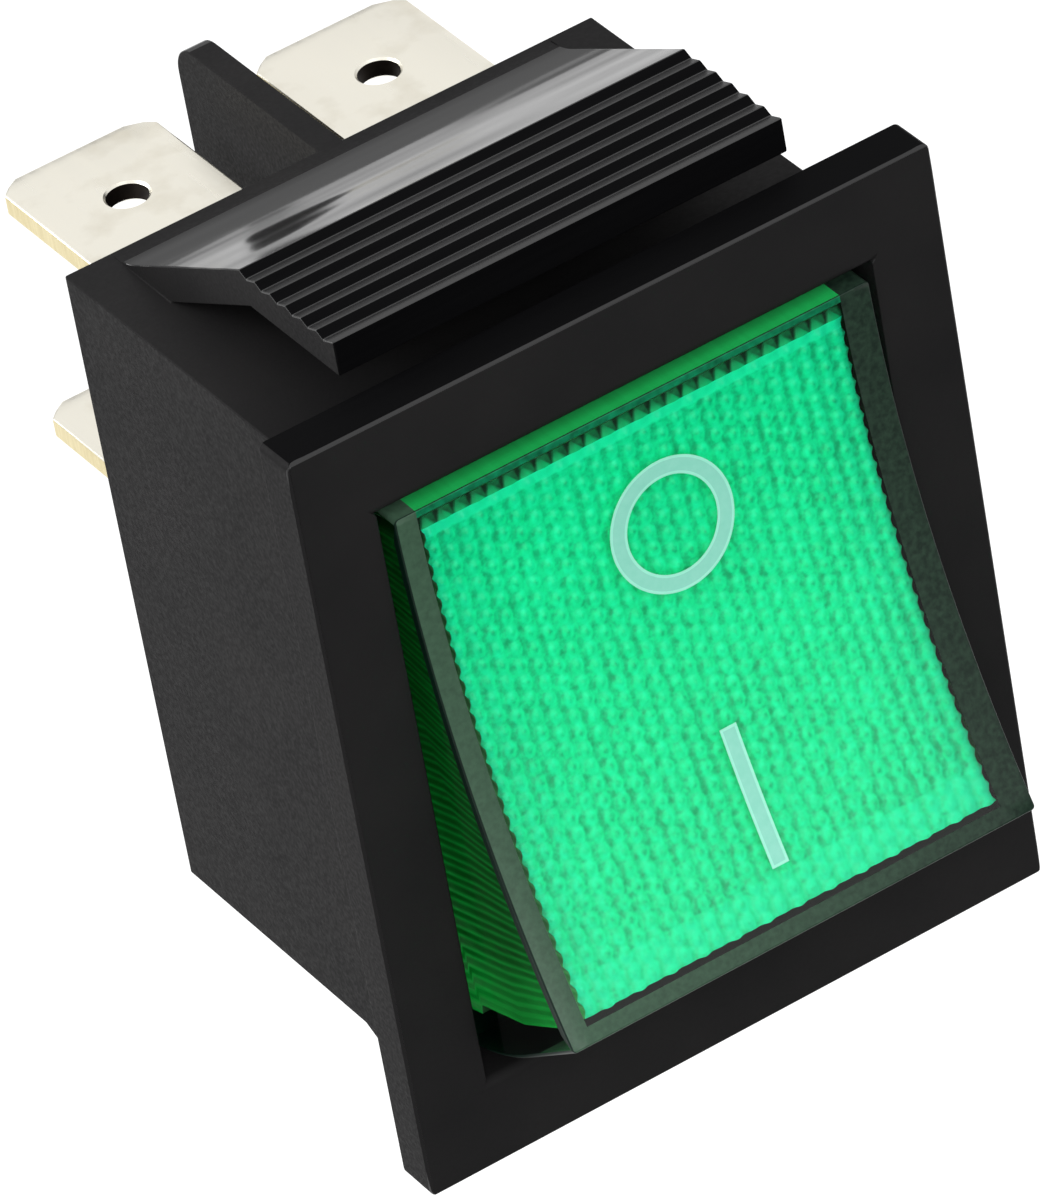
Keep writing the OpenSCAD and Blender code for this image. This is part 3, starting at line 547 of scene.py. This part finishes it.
def prism_field():
    """Geometry nodes: round-topped prisms, every other column half a row on, bent to the hollow front."""
    group = bpy.data.node_groups.new("prism_field", "GeometryNodeTree")
    sizes = {
        "Columns": ("NodeSocketInt", PRISM_COLUMNS), "Rows": ("NodeSocketInt", PRISM_ROWS),
        "Width": ("NodeSocketFloat", 2 * HOLLOW_HALF),
        "Length": ("NodeSocketFloat", O_END_PRISMS - I_END_PRISMS),
        "Middle": ("NodeSocketVector", (0, (O_END_PRISMS + I_END_PRISMS) / 2, 0)),
        "Depth": ("NodeSocketFloat", PRISM_DEPTH), "Facets": ("NodeSocketInt", PRISM_FACETS),
        "Bend Radius": ("NodeSocketFloat", DISH_RADIUS + FRONT_WALL),
        "Bend Centre": ("NodeSocketFloat", DISH_CENTRE),
        "Material": ("NodeSocketMaterial", prism_green)}
    for name, (kind, _) in sizes.items():
        group.interface.new_socket(name=name, in_out="INPUT", socket_type=kind)
    group.interface.new_socket(name="Geometry", in_out="OUTPUT", socket_type="NodeSocketGeometry")
    given = add(group, "NodeGroupInput").outputs

    def calculate(operation, *values):
        return add(group, "ShaderNodeMath", dict(enumerate(values)), operation=operation).outputs[0]

    column_pitch = calculate("DIVIDE", given["Width"], given["Columns"])
    row_pitch = calculate("DIVIDE", given["Length"], given["Rows"])
    grid = add(group, "GeometryNodeMeshGrid", {
        "Size X": calculate("SUBTRACT", given["Width"], column_pitch),
        "Size Y": calculate("SUBTRACT", given["Length"], row_pitch),
        "Vertices X": given["Columns"], "Vertices Y": given["Rows"]})
    placed = add(group, "GeometryNodeTransform", {
        "Geometry": grid.outputs["Mesh"], "Translation": given["Middle"]})
    corners = calculate("ADD", given["Facets"], 1)
    cell = add(group, "GeometryNodeMeshGrid", {
        "Size X": 1.0, "Size Y": 1.0, "Vertices X": corners, "Vertices Y": corners})
    size = add(group, "ShaderNodeCombineXYZ", {"X": column_pitch, "Y": row_pitch, "Z": 1.0})
    rows = add(group, "GeometryNodeInstanceOnPoints", {
        "Points": placed.outputs[0], "Instance": cell.outputs["Mesh"], "Scale": size.outputs[0]})
    real = add(group, "GeometryNodeRealizeInstances", {"Geometry": rows.outputs[0]})
    joined = add(group, "GeometryNodeMergeByDistance", {
        "Geometry": real.outputs[0], "Distance": NEAR / 2})
    spot = add(group, "ShaderNodeSeparateXYZ", {0: add(group, "GeometryNodeInputPosition").outputs[0]})
    middle = add(group, "ShaderNodeSeparateXYZ", {0: given["Middle"]})
    from_left = calculate("MULTIPLY_ADD", given["Width"], 0.5, spot.outputs["X"])
    column = calculate("DIVIDE", from_left, column_pitch)
    upward = calculate("SUBTRACT", spot.outputs["Y"], middle.outputs["Y"])
    row = calculate("DIVIDE", calculate("MULTIPLY_ADD", given["Length"], 0.5, upward), row_pitch)
    every_other = calculate("FLOORED_MODULO", calculate("FLOOR", column), 2)
    shifted = calculate("MULTIPLY_ADD", every_other, 0.5, row)
    wave_x = calculate("SINE", calculate("MULTIPLY", column, math.pi))
    wave_y = calculate("SINE", calculate("MULTIPLY", shifted, math.pi))
    along = calculate("MULTIPLY_ADD", calculate("MULTIPLY", wave_y, wave_y), PRISM_DIP, 1 - PRISM_DIP)
    rise = calculate("MULTIPLY", calculate("MULTIPLY", wave_x, wave_x), along)
    marked = add(group, "GeometryNodeStoreNamedAttribute", {
        "Geometry": joined.outputs[0], "Name": "rise", "Value": rise},
        domain="POINT", data_type="FLOAT")
    risen = add(group, "GeometryNodeInputNamedAttribute", {"Name": "rise"}, data_type="FLOAT").outputs[0]
    reach = calculate("MULTIPLY", given["Bend Radius"], given["Bend Radius"])
    along = calculate("MULTIPLY", spot.outputs["Y"], spot.outputs["Y"])
    drop = calculate("SQRT", calculate("SUBTRACT", reach, along))
    base = calculate("SUBTRACT", given["Bend Centre"], drop)
    lift = add(group, "ShaderNodeCombineXYZ", {"Z": calculate("MULTIPLY_ADD", risen, given["Depth"], base)})
    bent = add(group, "GeometryNodeSetPosition", {
        "Geometry": marked.outputs[0], "Offset": lift.outputs[0]})
    dressed = add(group, "GeometryNodeSetMaterial", {
        "Geometry": bent.outputs[0], "Material": given["Material"]})
    add(group, "NodeGroupOutput", {"Geometry": dressed.outputs[0]})
    field = new_piece("prism_field", bpy.data.meshes.new("prism_field"))
    modifier = field.modifiers.new("prism_field", "NODES")
    modifier.node_group = group
    for item in group.interface.items_tree:
        if item.in_out == "INPUT":
            modifier[item.identifier] = sizes[item.name][1]
    mesh = finished_mesh(field)
    bpy.data.objects.remove(field)
    return mesh


# Levels of the light and shade that the attributes paint on the prism ends, the side flutes and the comb.
TOP_SHINE = 0.8
LOW_SHINE = 0.3
FLUTE_SHADE = 0.33
LIT_GAIN = 0.6
TOOTH_ROOT = 0.55
TOOTH_TIP = 0.05
GAP_ROOT = -0.1
GAP_END = -0.4


def edge_the_prisms(form):
    """Paints light into both ends of the field and on the flutes along its sides, notches its sides
    and draws it out to a comb at the O end, with painted shade between the teeth.
    """
    glint = form.verts.layers.float.new("glint")
    flute = form.verts.layers.float.new("flute")
    row_pitch = (O_END_PRISMS - I_END_PRISMS) / PRISM_ROWS
    for face in form.faces:
        face.material_index = PRISM
    for vert in form.verts:
        # Painted light: the top rows and the rows by the I end are brighter.
        if vert.co.y > O_END_PRISMS - TOP_GLINT:
            vert[glint] = TOP_SHINE
        if vert.co.y < I_END_PRISMS + LOW_GLINT:
            vert[glint] = LOW_SHINE
        if abs(vert.co.x) > HOLLOW_HALF - NEAR:
            share = (vert.co.y - I_END_PRISMS) / row_pitch % 1
            notch = 1 - abs(2 * share - 1)
            # Painted light and shade on the side flutes: paler along each crest, brighter towards the I
            # end.
            crest = abs(2 * (2 * share % 1) - 1)
            lit = max(0, 1 - (vert.co.y - I_END_PRISMS) / LIT_END)
            vert.co.x -= math.copysign(FLUTE_DEPTH * notch, vert.co.x)
            vert[flute] = crest - FLUTE_SHADE + LIT_GAIN * lit
    top = sorted((v for v in form.verts if v.co.y > O_END_PRISMS - NEAR), key=lambda v: v.co.x)
    tooth_half = COMB_TOOTH / 2
    comb_height = dish_height(O_END_COMB, FRONT_WALL)
    corners = [form.verts.new((v.co.x, O_END_COMB, comb_height)) for v in top[::PRISM_FACETS]]
    # Painted light and shade on the comb: paler tooth roots, darker tips, darkest gaps.
    for i, vert in enumerate(top):
        vert[flute] = TOOTH_ROOT if i % PRISM_FACETS else GAP_ROOT
    for vert in corners:
        vert[flute] = GAP_END
    for k in range(PRISM_COLUMNS):
        base = top[k * PRISM_FACETS:(k + 1) * PRISM_FACETS + 1]
        middle = (base[0].co.x + base[-1].co.x) / 2
        left = form.verts.new((middle - tooth_half, O_END_COMB, comb_height))
        right = form.verts.new((middle + tooth_half, O_END_COMB, comb_height))
        left[flute] = right[flute] = TOOTH_TIP
        for corner_loop in ((*base, right, left), (corners[k], base[0], left),
                            (right, base[-1], corners[k + 1])):
            form.faces.new(corner_loop).material_index = COMB


def wall_the_hollow(form):
    """Draws the hollow's walls down from the edge of the prisms, with the step that seats the carrier."""
    lowest = min(v.co.y for v in form.verts)
    seat = 2 * SEAT_HALF / (O_END_COMB - lowest)
    step_x = 1 + STEP_WIDTH / HOLLOW_HALF
    step_y = 1 + STEP_WIDTH / SEAT_HALF
    for stretch_x, start, stretch_y, height in (
            (1, lowest + SEAT_HALF / seat, seat, FLANK_HEIGHT), (1, 0, 1, STEP_HEIGHT),
            (step_x, 0, step_y, STEP_HEIGHT), (1, 0, 1, -SKIRT_DEPTH)):
        rim = [edge for edge in form.edges if edge.is_boundary]
        grown = bmesh.ops.extrude_edge_only(form, edges=rim)["geom"]
        for vert in (v for v in grown if isinstance(v, bmesh.types.BMVert)):
            y = (vert.co.y - start) * stretch_y
            if start and abs(vert.co.x) > HOLLOW_HALF - 2 * FLUTE_DEPTH:
                y += FLUTE_SLANT * (1 - (y / SEAT_HALF) ** 2)
            vert.co = (vert.co.x * stretch_x, y, height)
        for face in (f for f in grown if isinstance(f, bmesh.types.BMFace)):
            face.normal_update()
            # End walls get the paler painted-light green, side walls the plain wall green.
            face.material_index = END_WALL if abs(face.normal.y) > abs(face.normal.x) else SIDE_WALL


END_STEPS = 8
FRONT_STEPS = 34
CORNER_SEGMENTS = 4
SIDEWAYS = 0.99
SLANT = 0.3


def lens_outside():
    """The rocker's outside as an open shell: walls, slanted ends and hollow front, with rounded edges."""
    low = math.asin(SKIRT_DEPTH / END_RADIUS)
    high = math.asin(FLANK_HEIGHT / END_RADIUS)
    turns = [(low + high) * i / END_STEPS - low for i in range(END_STEPS + 1)]
    o_end = [(END_RADIUS * math.cos(a), END_RADIUS * math.sin(a)) for a in turns]
    length = I_END_PRISMS - O_END_PRISMS
    field = [O_END_PRISMS + length * i / FRONT_STEPS for i in range(FRONT_STEPS + 1)]
    front = [FRONT_HALF, O_END_WINDOW, *field, -FRONT_HALF]
    outline = o_end + [(y, dish_height(y)) for y in front] + [(-y, z) for y, z in reversed(o_end)]
    form = bmesh.new()
    stations = (-LENS_HALF, WINDOW_LEFT, WINDOW_RIGHT, LENS_HALF)
    lines = [[form.verts.new((x, y, z)) for y, z in outline] for x in stations]
    form.faces.new(reversed(lines[0]))
    form.faces.new(lines[-1])
    for near_line, far_line in zip(lines, lines[1:]):
        for i in range(len(outline) - 1):
            form.faces.new((near_line[i], near_line[i + 1], far_line[i + 1], far_line[i]))
    bmesh.ops.recalc_face_normals(form, faces=form.faces)
    weight = form.edges.layers.float.new("bevel_weight_edge")
    for edge in form.edges:
        if len(edge.link_faces) == 2 and edge.calc_face_angle(0) > SHARP_ANGLE:
            at_rim = all(abs(v.co.y) < FRONT_HALF + NEAR for v in edge.verts)
            o_edge = all(v.co.y > FRONT_HALF - NEAR for v in edge.verts)
            edge[weight] = (O_END_ROUND if o_edge else RIM_ROUND) / CORNER_ROUND if at_rim else 1
    mesh = bpy.data.meshes.new("lens_outside")
    form.to_mesh(mesh)
    form.free()
    shell = new_piece("lens_outside", mesh)
    round_edges(shell, CORNER_ROUND, CORNER_SEGMENTS)
    form = bmesh.new()
    form.from_mesh(shell.data)
    bpy.data.objects.remove(shell)
    # Finishes by place: the grey rim finish and the near-black green are painted shade, the end-wall green
    # on the flanks painted light.
    for face in form.faces:
        x, y, z = face.calc_center_median()
        between = WINDOW_LEFT < x < WINDOW_RIGHT
        if face.normal.z > LEVEL:
            in_window = between and I_END_PRISMS < y < O_END_WINDOW
            face.material_index = CLEAR if in_window else COMB if between and y > 0 else GRAIN_AND_SHADE
        elif abs(face.normal.x) > SIDEWAYS:
            face.material_index = CLEAR
        elif z > dish_height(y) - RIM_ROUND:
            face.material_index = THICK if y > O_EDGE or abs(face.normal.x) > SLANT else GRAIN_AND_SHADE
        elif z > FLANK_HEIGHT and between:
            face.material_index = END_WALL
        else:
            face.material_index = GRAIN_AND_SHADE if y > 0 else THICK
    # A band along the top of each cheek is painted shade: the near-black green, a dark line under the rim.
    for side in (-1, 1):
        cheeks = (f for f in form.faces if f.normal.x * side > SIDEWAYS)
        cheek = max(cheeks, key=lambda f: f.calc_area())
        o_corner = max(cheek.verts, key=lambda v: v.co.z + v.co.y)
        i_corner = max(cheek.verts, key=lambda v: v.co.z - v.co.y)
        band = [(side * LENS_HALF, y, dish_height(y) - RIM_ROUND - SHADE_BAND) for y in field]
        lower = bmesh.utils.face_split(cheek, o_corner, i_corner, coords=band)[0]
        max((cheek, lower), key=lambda f: f.calc_center_median().z).material_index = THICK
    mesh = bpy.data.meshes.new("lens_outside")
    form.to_mesh(mesh)
    form.free()
    return mesh


def rocker_moulding():
    """The whole rocker: prisms, inner walls, outside, and a boss with its pivot pin on each side."""
    form = bmesh.new()
    form.from_mesh(prism_field())
    edge_the_prisms(form)
    wall_the_hollow(form)
    form.from_mesh(lens_outside())
    rims = [edge for edge in form.edges if edge.is_boundary]
    # The skirt's bottom rim is painted shade: the near-black green.
    for face in bmesh.ops.triangle_fill(form, edges=rims, use_beauty=True)["geom"]:
        if isinstance(face, bmesh.types.BMFace):
            face.material_index = THICK
    bmesh.ops.recalc_face_normals(form, faces=form.faces)
    for side in (-1, 1):
        for radius, inside, outside in (
                (PIN_RADIUS, LENS_HALF - SIDE_THICK / 2, LENS_HALF + PIN_REACH),
                (BOSS_RADIUS, HOLLOW_HALF + STEP_WIDTH, LENS_HALF)):
            turn = Matrix.Translation((side * (inside + outside) / 2, 0, 0))
            turn = turn @ Matrix.Rotation(math.pi / 2, 4, "Y")
            round_part = bmesh.ops.create_cone(
                form, cap_ends=True, segments=PIN_SEGMENTS, radius1=radius, radius2=radius,
                depth=outside - inside, matrix=turn)
            # The pins and bosses are painted shade: the near-black green.
            for face in {f for v in round_part["verts"] for f in v.link_faces}:
                face.material_index = THICK
    form.transform(ROCKER_FRAME)
    mesh = bpy.data.meshes.new("rocker_moulding")
    form.to_mesh(mesh)
    form.free()
    for material in ROCKER_FINISHES:
        mesh.materials.append(material)
    mesh.shade_smooth()
    mesh.set_sharp_from_angle(angle=SHARP_ANGLE)
    return mesh


rocker = new_piece("rocker_moulding", rocker_moulding())
flat = rocker.modifiers.new("flat_faces", "WEIGHTED_NORMAL")
flat.keep_sharp = True
rocker.data = finished_mesh(rocker)
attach(rocker, "rocker")
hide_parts("rocker_lens")


# Marks: an O at the off end and an I at the on end, pad printed on the hollow front in thin pale ink,
# which gathers at its edges.
MARK_PLACE = 5.06 * MM
RING_ACROSS = 0.33 * MM
RING_OUTER = 2.42 * MM
RING_INNER = 1.76 * MM
BAR_ACROSS = 0.05 * MM
BAR_HALF_WIDTH = 0.335 * MM
BAR_HALF_LENGTH = 2.57 * MM
INK_HEIGHT = 0.02 * MM
INK_RIM = 0.1 * MM
INK_DOT = 0.25 * MM
RING_STEPS = 96
BAR_STEPS = 8


def pale_ink(name, dark, light):
    """Pad-printing ink: pale mint over the green, a little uneven, with a soft satin face."""
    made, nodes, spot = new_material(name)
    dots = add(nodes, "ShaderNodeTexNoise", {"Vector": spot, "Scale": 1 / INK_DOT, "Detail": 3})
    shade = add(nodes, "ShaderNodeMix", {
        "Factor_Float": dots.outputs["Fac"], "A_Color": linear(dark), "B_Color": linear(light)},
        data_type="RGBA")
    film = add(nodes, "ShaderNodeBsdfPrincipled", {
        "Base Color": shade.outputs[2], "Roughness": 0.4, "IOR": 1.5})
    add(nodes, "ShaderNodeOutputMaterial", {"Surface": film.outputs[0]})
    return made


thin_ink = pale_ink("pad_print_ink_thin", "#86d8c0", "#9ae2ce")
rim_ink = pale_ink("pad_print_ink_gathered", "#98eed2", "#aaf4de")


def ink_film(name, outlines, rims, closed):
    """A film on the front through nested outlines, inner first, each a list of (across, along)."""
    form = bmesh.new()
    under = [[form.verts.new((x, y, dish_height(y))) for x, y in line] for line in outlines]
    upper = [[form.verts.new((x, y, dish_height(y) + INK_HEIGHT)) for x, y in line]
             for line in outlines]
    loops = under + upper[::-1]
    pairs = list(zip(loops, loops[1:]))
    if closed:
        for line in (loops[0], loops[-1]):
            half = len(line) // 2
            for i in range(half - 1):
                form.faces.new((line[i], line[i + 1], line[-2 - i], line[-1 - i]))
    else:
        pairs.append((loops[-1], loops[0]))
    for k, (start, end) in enumerate(pairs):
        for i in range(len(start)):
            after = (i + 1) % len(start)
            face = form.faces.new((start[i], start[after], end[after], end[i]))
            face.material_index = int(k in rims)
    bmesh.ops.recalc_face_normals(form, faces=form.faces)
    form.transform(ROCKER_FRAME)
    mesh = bpy.data.meshes.new(name)
    form.to_mesh(mesh)
    form.free()
    mesh.materials.append(thin_ink)
    mesh.materials.append(rim_ink)
    film = new_piece(name, mesh)
    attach(film, "rocker")


def ring(radius):
    turns = [2 * math.pi * i / RING_STEPS for i in range(RING_STEPS)]
    return [(RING_ACROSS + radius * math.cos(a), MARK_PLACE + radius * math.sin(a)) for a in turns]


def bar(half_width, half_length):
    side = [(half_width, half_length * (i / BAR_STEPS - 1)) for i in range(2 * BAR_STEPS + 1)]
    side += [(-x, -y) for x, y in side]
    return [(BAR_ACROSS + x, y - MARK_PLACE) for x, y in side]


ink_film("mark_o", [ring(RING_INNER), ring(RING_INNER + INK_RIM), ring(RING_OUTER - INK_RIM),
                    ring(RING_OUTER)], rims=(3, 4, 6), closed=False)
ink_film("mark_i", [bar(BAR_HALF_WIDTH - INK_RIM, BAR_HALF_LENGTH - INK_RIM),
                    bar(BAR_HALF_WIDTH, BAR_HALF_LENGTH)], rims=(1, 2), closed=True)


# Inner pieces that only the open back or a lifted rocker shows: each, but for the springs, keeps its
# solid and gets the finish of its own material, set in the slots of its object.
def dress(nodes, material):
    for node in nodes:
        for slot in frame["nodes"][node].material_slots:
            slot.link = "OBJECT"
            slot.material = material


def pair(*names):
    return [f"{name}_{side}" for name in names for side in ("left", "right")]


# Lamp carrier: white nylon plate with two guide tubes, snapped into the rocker, lightly yellowed.
CLOUD_SIZE = 2 * MM
white_nylon, tree, place = new_material("nylon_white_matt")
cloud = add(tree, "ShaderNodeTexNoise", {"Vector": place, "Scale": 1 / CLOUD_SIZE, "Detail": 4})
tone = add(tree, "ShaderNodeMix", {
    "Factor_Float": cloud.outputs["Fac"], "A_Color": linear("#e2dccb"), "B_Color": linear("#f2eee3")},
    data_type="RGBA")
shader = add(tree, "ShaderNodeBsdfPrincipled", {
    "Base Color": tone.outputs[2], "Roughness": 0.5, "IOR": NYLON_IOR})
add(tree, "ShaderNodeOutputMaterial", {"Surface": shader.outputs[0]})
dress(["lamp_carrier"], white_nylon)

# Lamp bulb: a small neon tube of thin soda glass, faintly smoked round its electrodes.
SMOKE_SIZE = 1.5 * MM
neon_glass, tree, place = new_material("soda_glass_neon")
smoke = add(tree, "ShaderNodeTexNoise", {"Vector": place, "Scale": 1 / SMOKE_SIZE, "Detail": 2})
tone = add(tree, "ShaderNodeMix", {
    "Factor_Float": smoke.outputs["Fac"], "A_Color": linear("#f6e9dc"), "B_Color": linear("#ffffff")},
    data_type="RGBA")
shader = add(tree, "ShaderNodeBsdfPrincipled", {
    "Base Color": tone.outputs[2], "Roughness": 0.03, "IOR": 1.52, "Transmission Weight": 1})
add(tree, "ShaderNodeOutputMaterial", {"Surface": shader.outputs[0]})
dress(["lamp_bulb"], neon_glass)

# Resistor: a ceramic rod under tan lacquer, glossy and a little mottled.
MOTTLE_SIZE = 0.5 * MM
lacquer, tree, place = new_material("lacquered_ceramic")
mottle = add(tree, "ShaderNodeTexNoise", {"Vector": place, "Scale": 1 / MOTTLE_SIZE, "Detail": 3})
tone = add(tree, "ShaderNodeMix", {
    "Factor_Float": mottle.outputs["Fac"], "A_Color": linear("#b89763"), "B_Color": linear("#d8bf8e")},
    data_type="RGBA")
shader = add(tree, "ShaderNodeBsdfPrincipled", {
    "Base Color": tone.outputs[2], "Roughness": 0.28, "IOR": 1.5, "Coat Weight": 0.4})
add(tree, "ShaderNodeOutputMaterial", {"Surface": shader.outputs[0]})
dress(["lamp_resistor"], lacquer)


# Metals inside: tinned lamp wire, drawn steel springs, turned brass plungers, stamped copper blades
# and silver contact rivets. Each shows the fine marks of how it was made.
DENT_DEPTH = 0.02 * MM


def worked_metal(name, dark, light, mark_size, rough):
    made, nodes, spot = new_material(name)
    marks = add(nodes, "ShaderNodeTexNoise", {"Vector": spot, "Scale": 1 / mark_size, "Detail": 4})
    shade = add(nodes, "ShaderNodeMix", {
        "Factor_Float": marks.outputs["Fac"], "A_Color": linear(dark), "B_Color": linear(light)},
        data_type="RGBA")
    gloss = add(nodes, "ShaderNodeMapRange", {
        "Value": marks.outputs["Fac"], "From Min": 0.3, "From Max": 0.7,
        "To Min": rough - 0.08, "To Max": rough + 0.08})
    dents = add(nodes, "ShaderNodeBump", {
        "Height": marks.outputs["Fac"], "Strength": 0.2, "Distance": DENT_DEPTH})
    metal = add(nodes, "ShaderNodeBsdfPrincipled", {
        "Base Color": shade.outputs[2], "Metallic": 1, "Roughness": gloss.outputs[0],
        "Normal": dents.outputs[0]})
    add(nodes, "ShaderNodeOutputMaterial", {"Surface": metal.outputs[0]})
    return made


dress(pair("lamp_lead"), worked_metal("tinned_copper_wire", "#b5b0a4", "#dedbd2", 0.4 * MM, 0.3))
spring_steel = worked_metal("drawn_spring_steel", "#8d9298", "#c3c8cd", 0.3 * MM, 0.24)
dress(pair("plunger"), worked_metal("turned_brass", "#a8832f", "#d6b45c", 0.3 * MM, 0.26))
dress(pair("blade"), worked_metal("stamped_copper_alloy", "#a8603a", "#d18d61", 0.6 * MM, 0.32))
dress(pair("blade_rivet", "fixed_rivet"),
      worked_metal("silver_contact", "#c4c3be", "#ecebe6", 0.4 * MM, 0.3))


# Springs: each coil is squeezed between the lamp carrier and its plunger. Each is copied as it stands,
# with the steel finish, and its CAD piece is hidden.
for side in ("left", "right"):
    form = bmesh.new()
    form.from_mesh(frame["nodes"][f"spring_{side}"].data)
    bmesh.ops.remove_doubles(form, verts=form.verts, dist=SAME_PLACE)
    mesh = bpy.data.meshes.new(f"spring_coil_{side}")
    form.to_mesh(mesh)
    form.free()
    mesh.materials.clear()
    mesh.materials.append(spring_steel)
    mesh.shade_smooth()
    mesh.set_sharp_from_angle(angle=SHARP_ANGLE)
    coil = new_piece(f"spring_coil_{side}", mesh)
    low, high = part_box(f"spring_{side}")
    across = (low.x + high.x) / 2
    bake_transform(coil)
    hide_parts(f"spring_{side}")


# Studio: a white sweep below and behind the switch, open sky light from above, a soft box on the left
# and a weak one in front. The camera stands where the photograph was taken from.
FLOOR_HEIGHT = -60 * MM
FLOOR_FRONT = -30 * MM
FLOOR_BACK = 900 * MM
FLOOR_HALF = 900 * MM
PAPER = "#c4c4c4"
PAPER_GLOW = 0.55

# Pale floor paper: white to the eye and in reflections, and still shaded by the switch.
paper, tree, place = new_material("floor_paper_white")
ray = add(tree, "ShaderNodeLightPath").outputs
seen = add(tree, "ShaderNodeMath", {
    0: ray["Is Camera Ray"], 1: ray["Is Glossy Ray"]}, operation="MAXIMUM")
seen = add(tree, "ShaderNodeMath", {
    0: seen.outputs[0], 1: ray["Is Transmission Ray"]}, operation="MAXIMUM")
glow = add(tree, "ShaderNodeMath", {0: seen.outputs[0], 1: PAPER_GLOW}, operation="MULTIPLY")
shader = add(tree, "ShaderNodeBsdfPrincipled", {
    "Base Color": linear(PAPER), "Roughness": 0.9, "Emission Color": (1, 1, 1, 1),
    "Emission Strength": glow.outputs[0]})
add(tree, "ShaderNodeOutputMaterial", {"Surface": shader.outputs[0]})

mesh = bpy.data.meshes.new("floor")
mesh.from_pydata(
    [(x, y, FLOOR_HEIGHT) for x, y in (
        (-FLOOR_HALF, FLOOR_FRONT), (FLOOR_HALF, FLOOR_FRONT),
        (FLOOR_HALF, FLOOR_BACK), (-FLOOR_HALF, FLOOR_BACK))], [], [(0, 1, 2, 3)])
mesh.materials.append(paper)
new_piece("floor", mesh)

# World: white to the camera; as light, bright above the horizon and dim below it.
world = bpy.data.worlds.new("studio")
bpy.context.scene.world = world
world.use_nodes = True
tree = world.node_tree
tree.nodes.clear()
direction = add(tree, "ShaderNodeSeparateXYZ", {0: add(tree, "ShaderNodeTexCoord").outputs["Generated"]})
sky = add(tree, "ShaderNodeMapRange", {
    "Value": direction.outputs["Z"], "From Min": -0.6, "From Max": 0.8, "To Min": 0.03, "To Max": 1.0},
    interpolation_type="SMOOTHSTEP")
light = add(tree, "ShaderNodeBackground", {"Color": (1, 1, 1, 1), "Strength": sky.outputs[0]})
white = add(tree, "ShaderNodeBackground", {"Color": (1, 1, 1, 1), "Strength": 1})
ray = add(tree, "ShaderNodeLightPath").outputs
shader = add(tree, "ShaderNodeMixShader", {
    0: ray["Is Camera Ray"], 1: light.outputs[0], 2: white.outputs[0]})
add(tree, "ShaderNodeOutputWorld", {"Surface": shader.outputs[0]})


def soft_box(name, place, size, power):
    lamp = bpy.data.lights.new(name, "AREA")
    lamp.shape = "SQUARE"
    lamp.size = size
    lamp.energy = power
    box = bpy.data.objects.new(name, lamp)
    bpy.context.scene.collection.objects.link(box)
    box.location = place
    box.rotation_euler = (-Vector(place)).to_track_quat("-Z", "Y").to_euler()
    box.visible_camera = False


soft_box("soft_box_left", (-0.08, 0.07, 0.055), 0.06, 0.06)
soft_box("soft_box_front", (-0.1, -0.4, 0.2), 0.3, 1.05)

CAMERA_LENS = 341.17
CAMERA_PLACE = Vector((-143.7, -273.3, 227.5)) * MM
CAMERA_RIGHT = Vector((0.8269, -0.5425, -0.1482))
CAMERA_UP = Vector((0.4257, 0.4316, 0.7953))
view = bpy.data.cameras.new("camera")
view.lens = CAMERA_LENS
camera = bpy.data.objects.new("camera", view)
bpy.context.scene.collection.objects.link(camera)
axes = Matrix((CAMERA_RIGHT, CAMERA_UP, CAMERA_RIGHT.cross(CAMERA_UP))).transposed()
camera.matrix_world = Matrix.Translation(CAMERA_PLACE) @ axes.to_4x4()
bpy.context.scene.camera = camera
bpy.context.scene.view_settings.view_transform = "Standard"
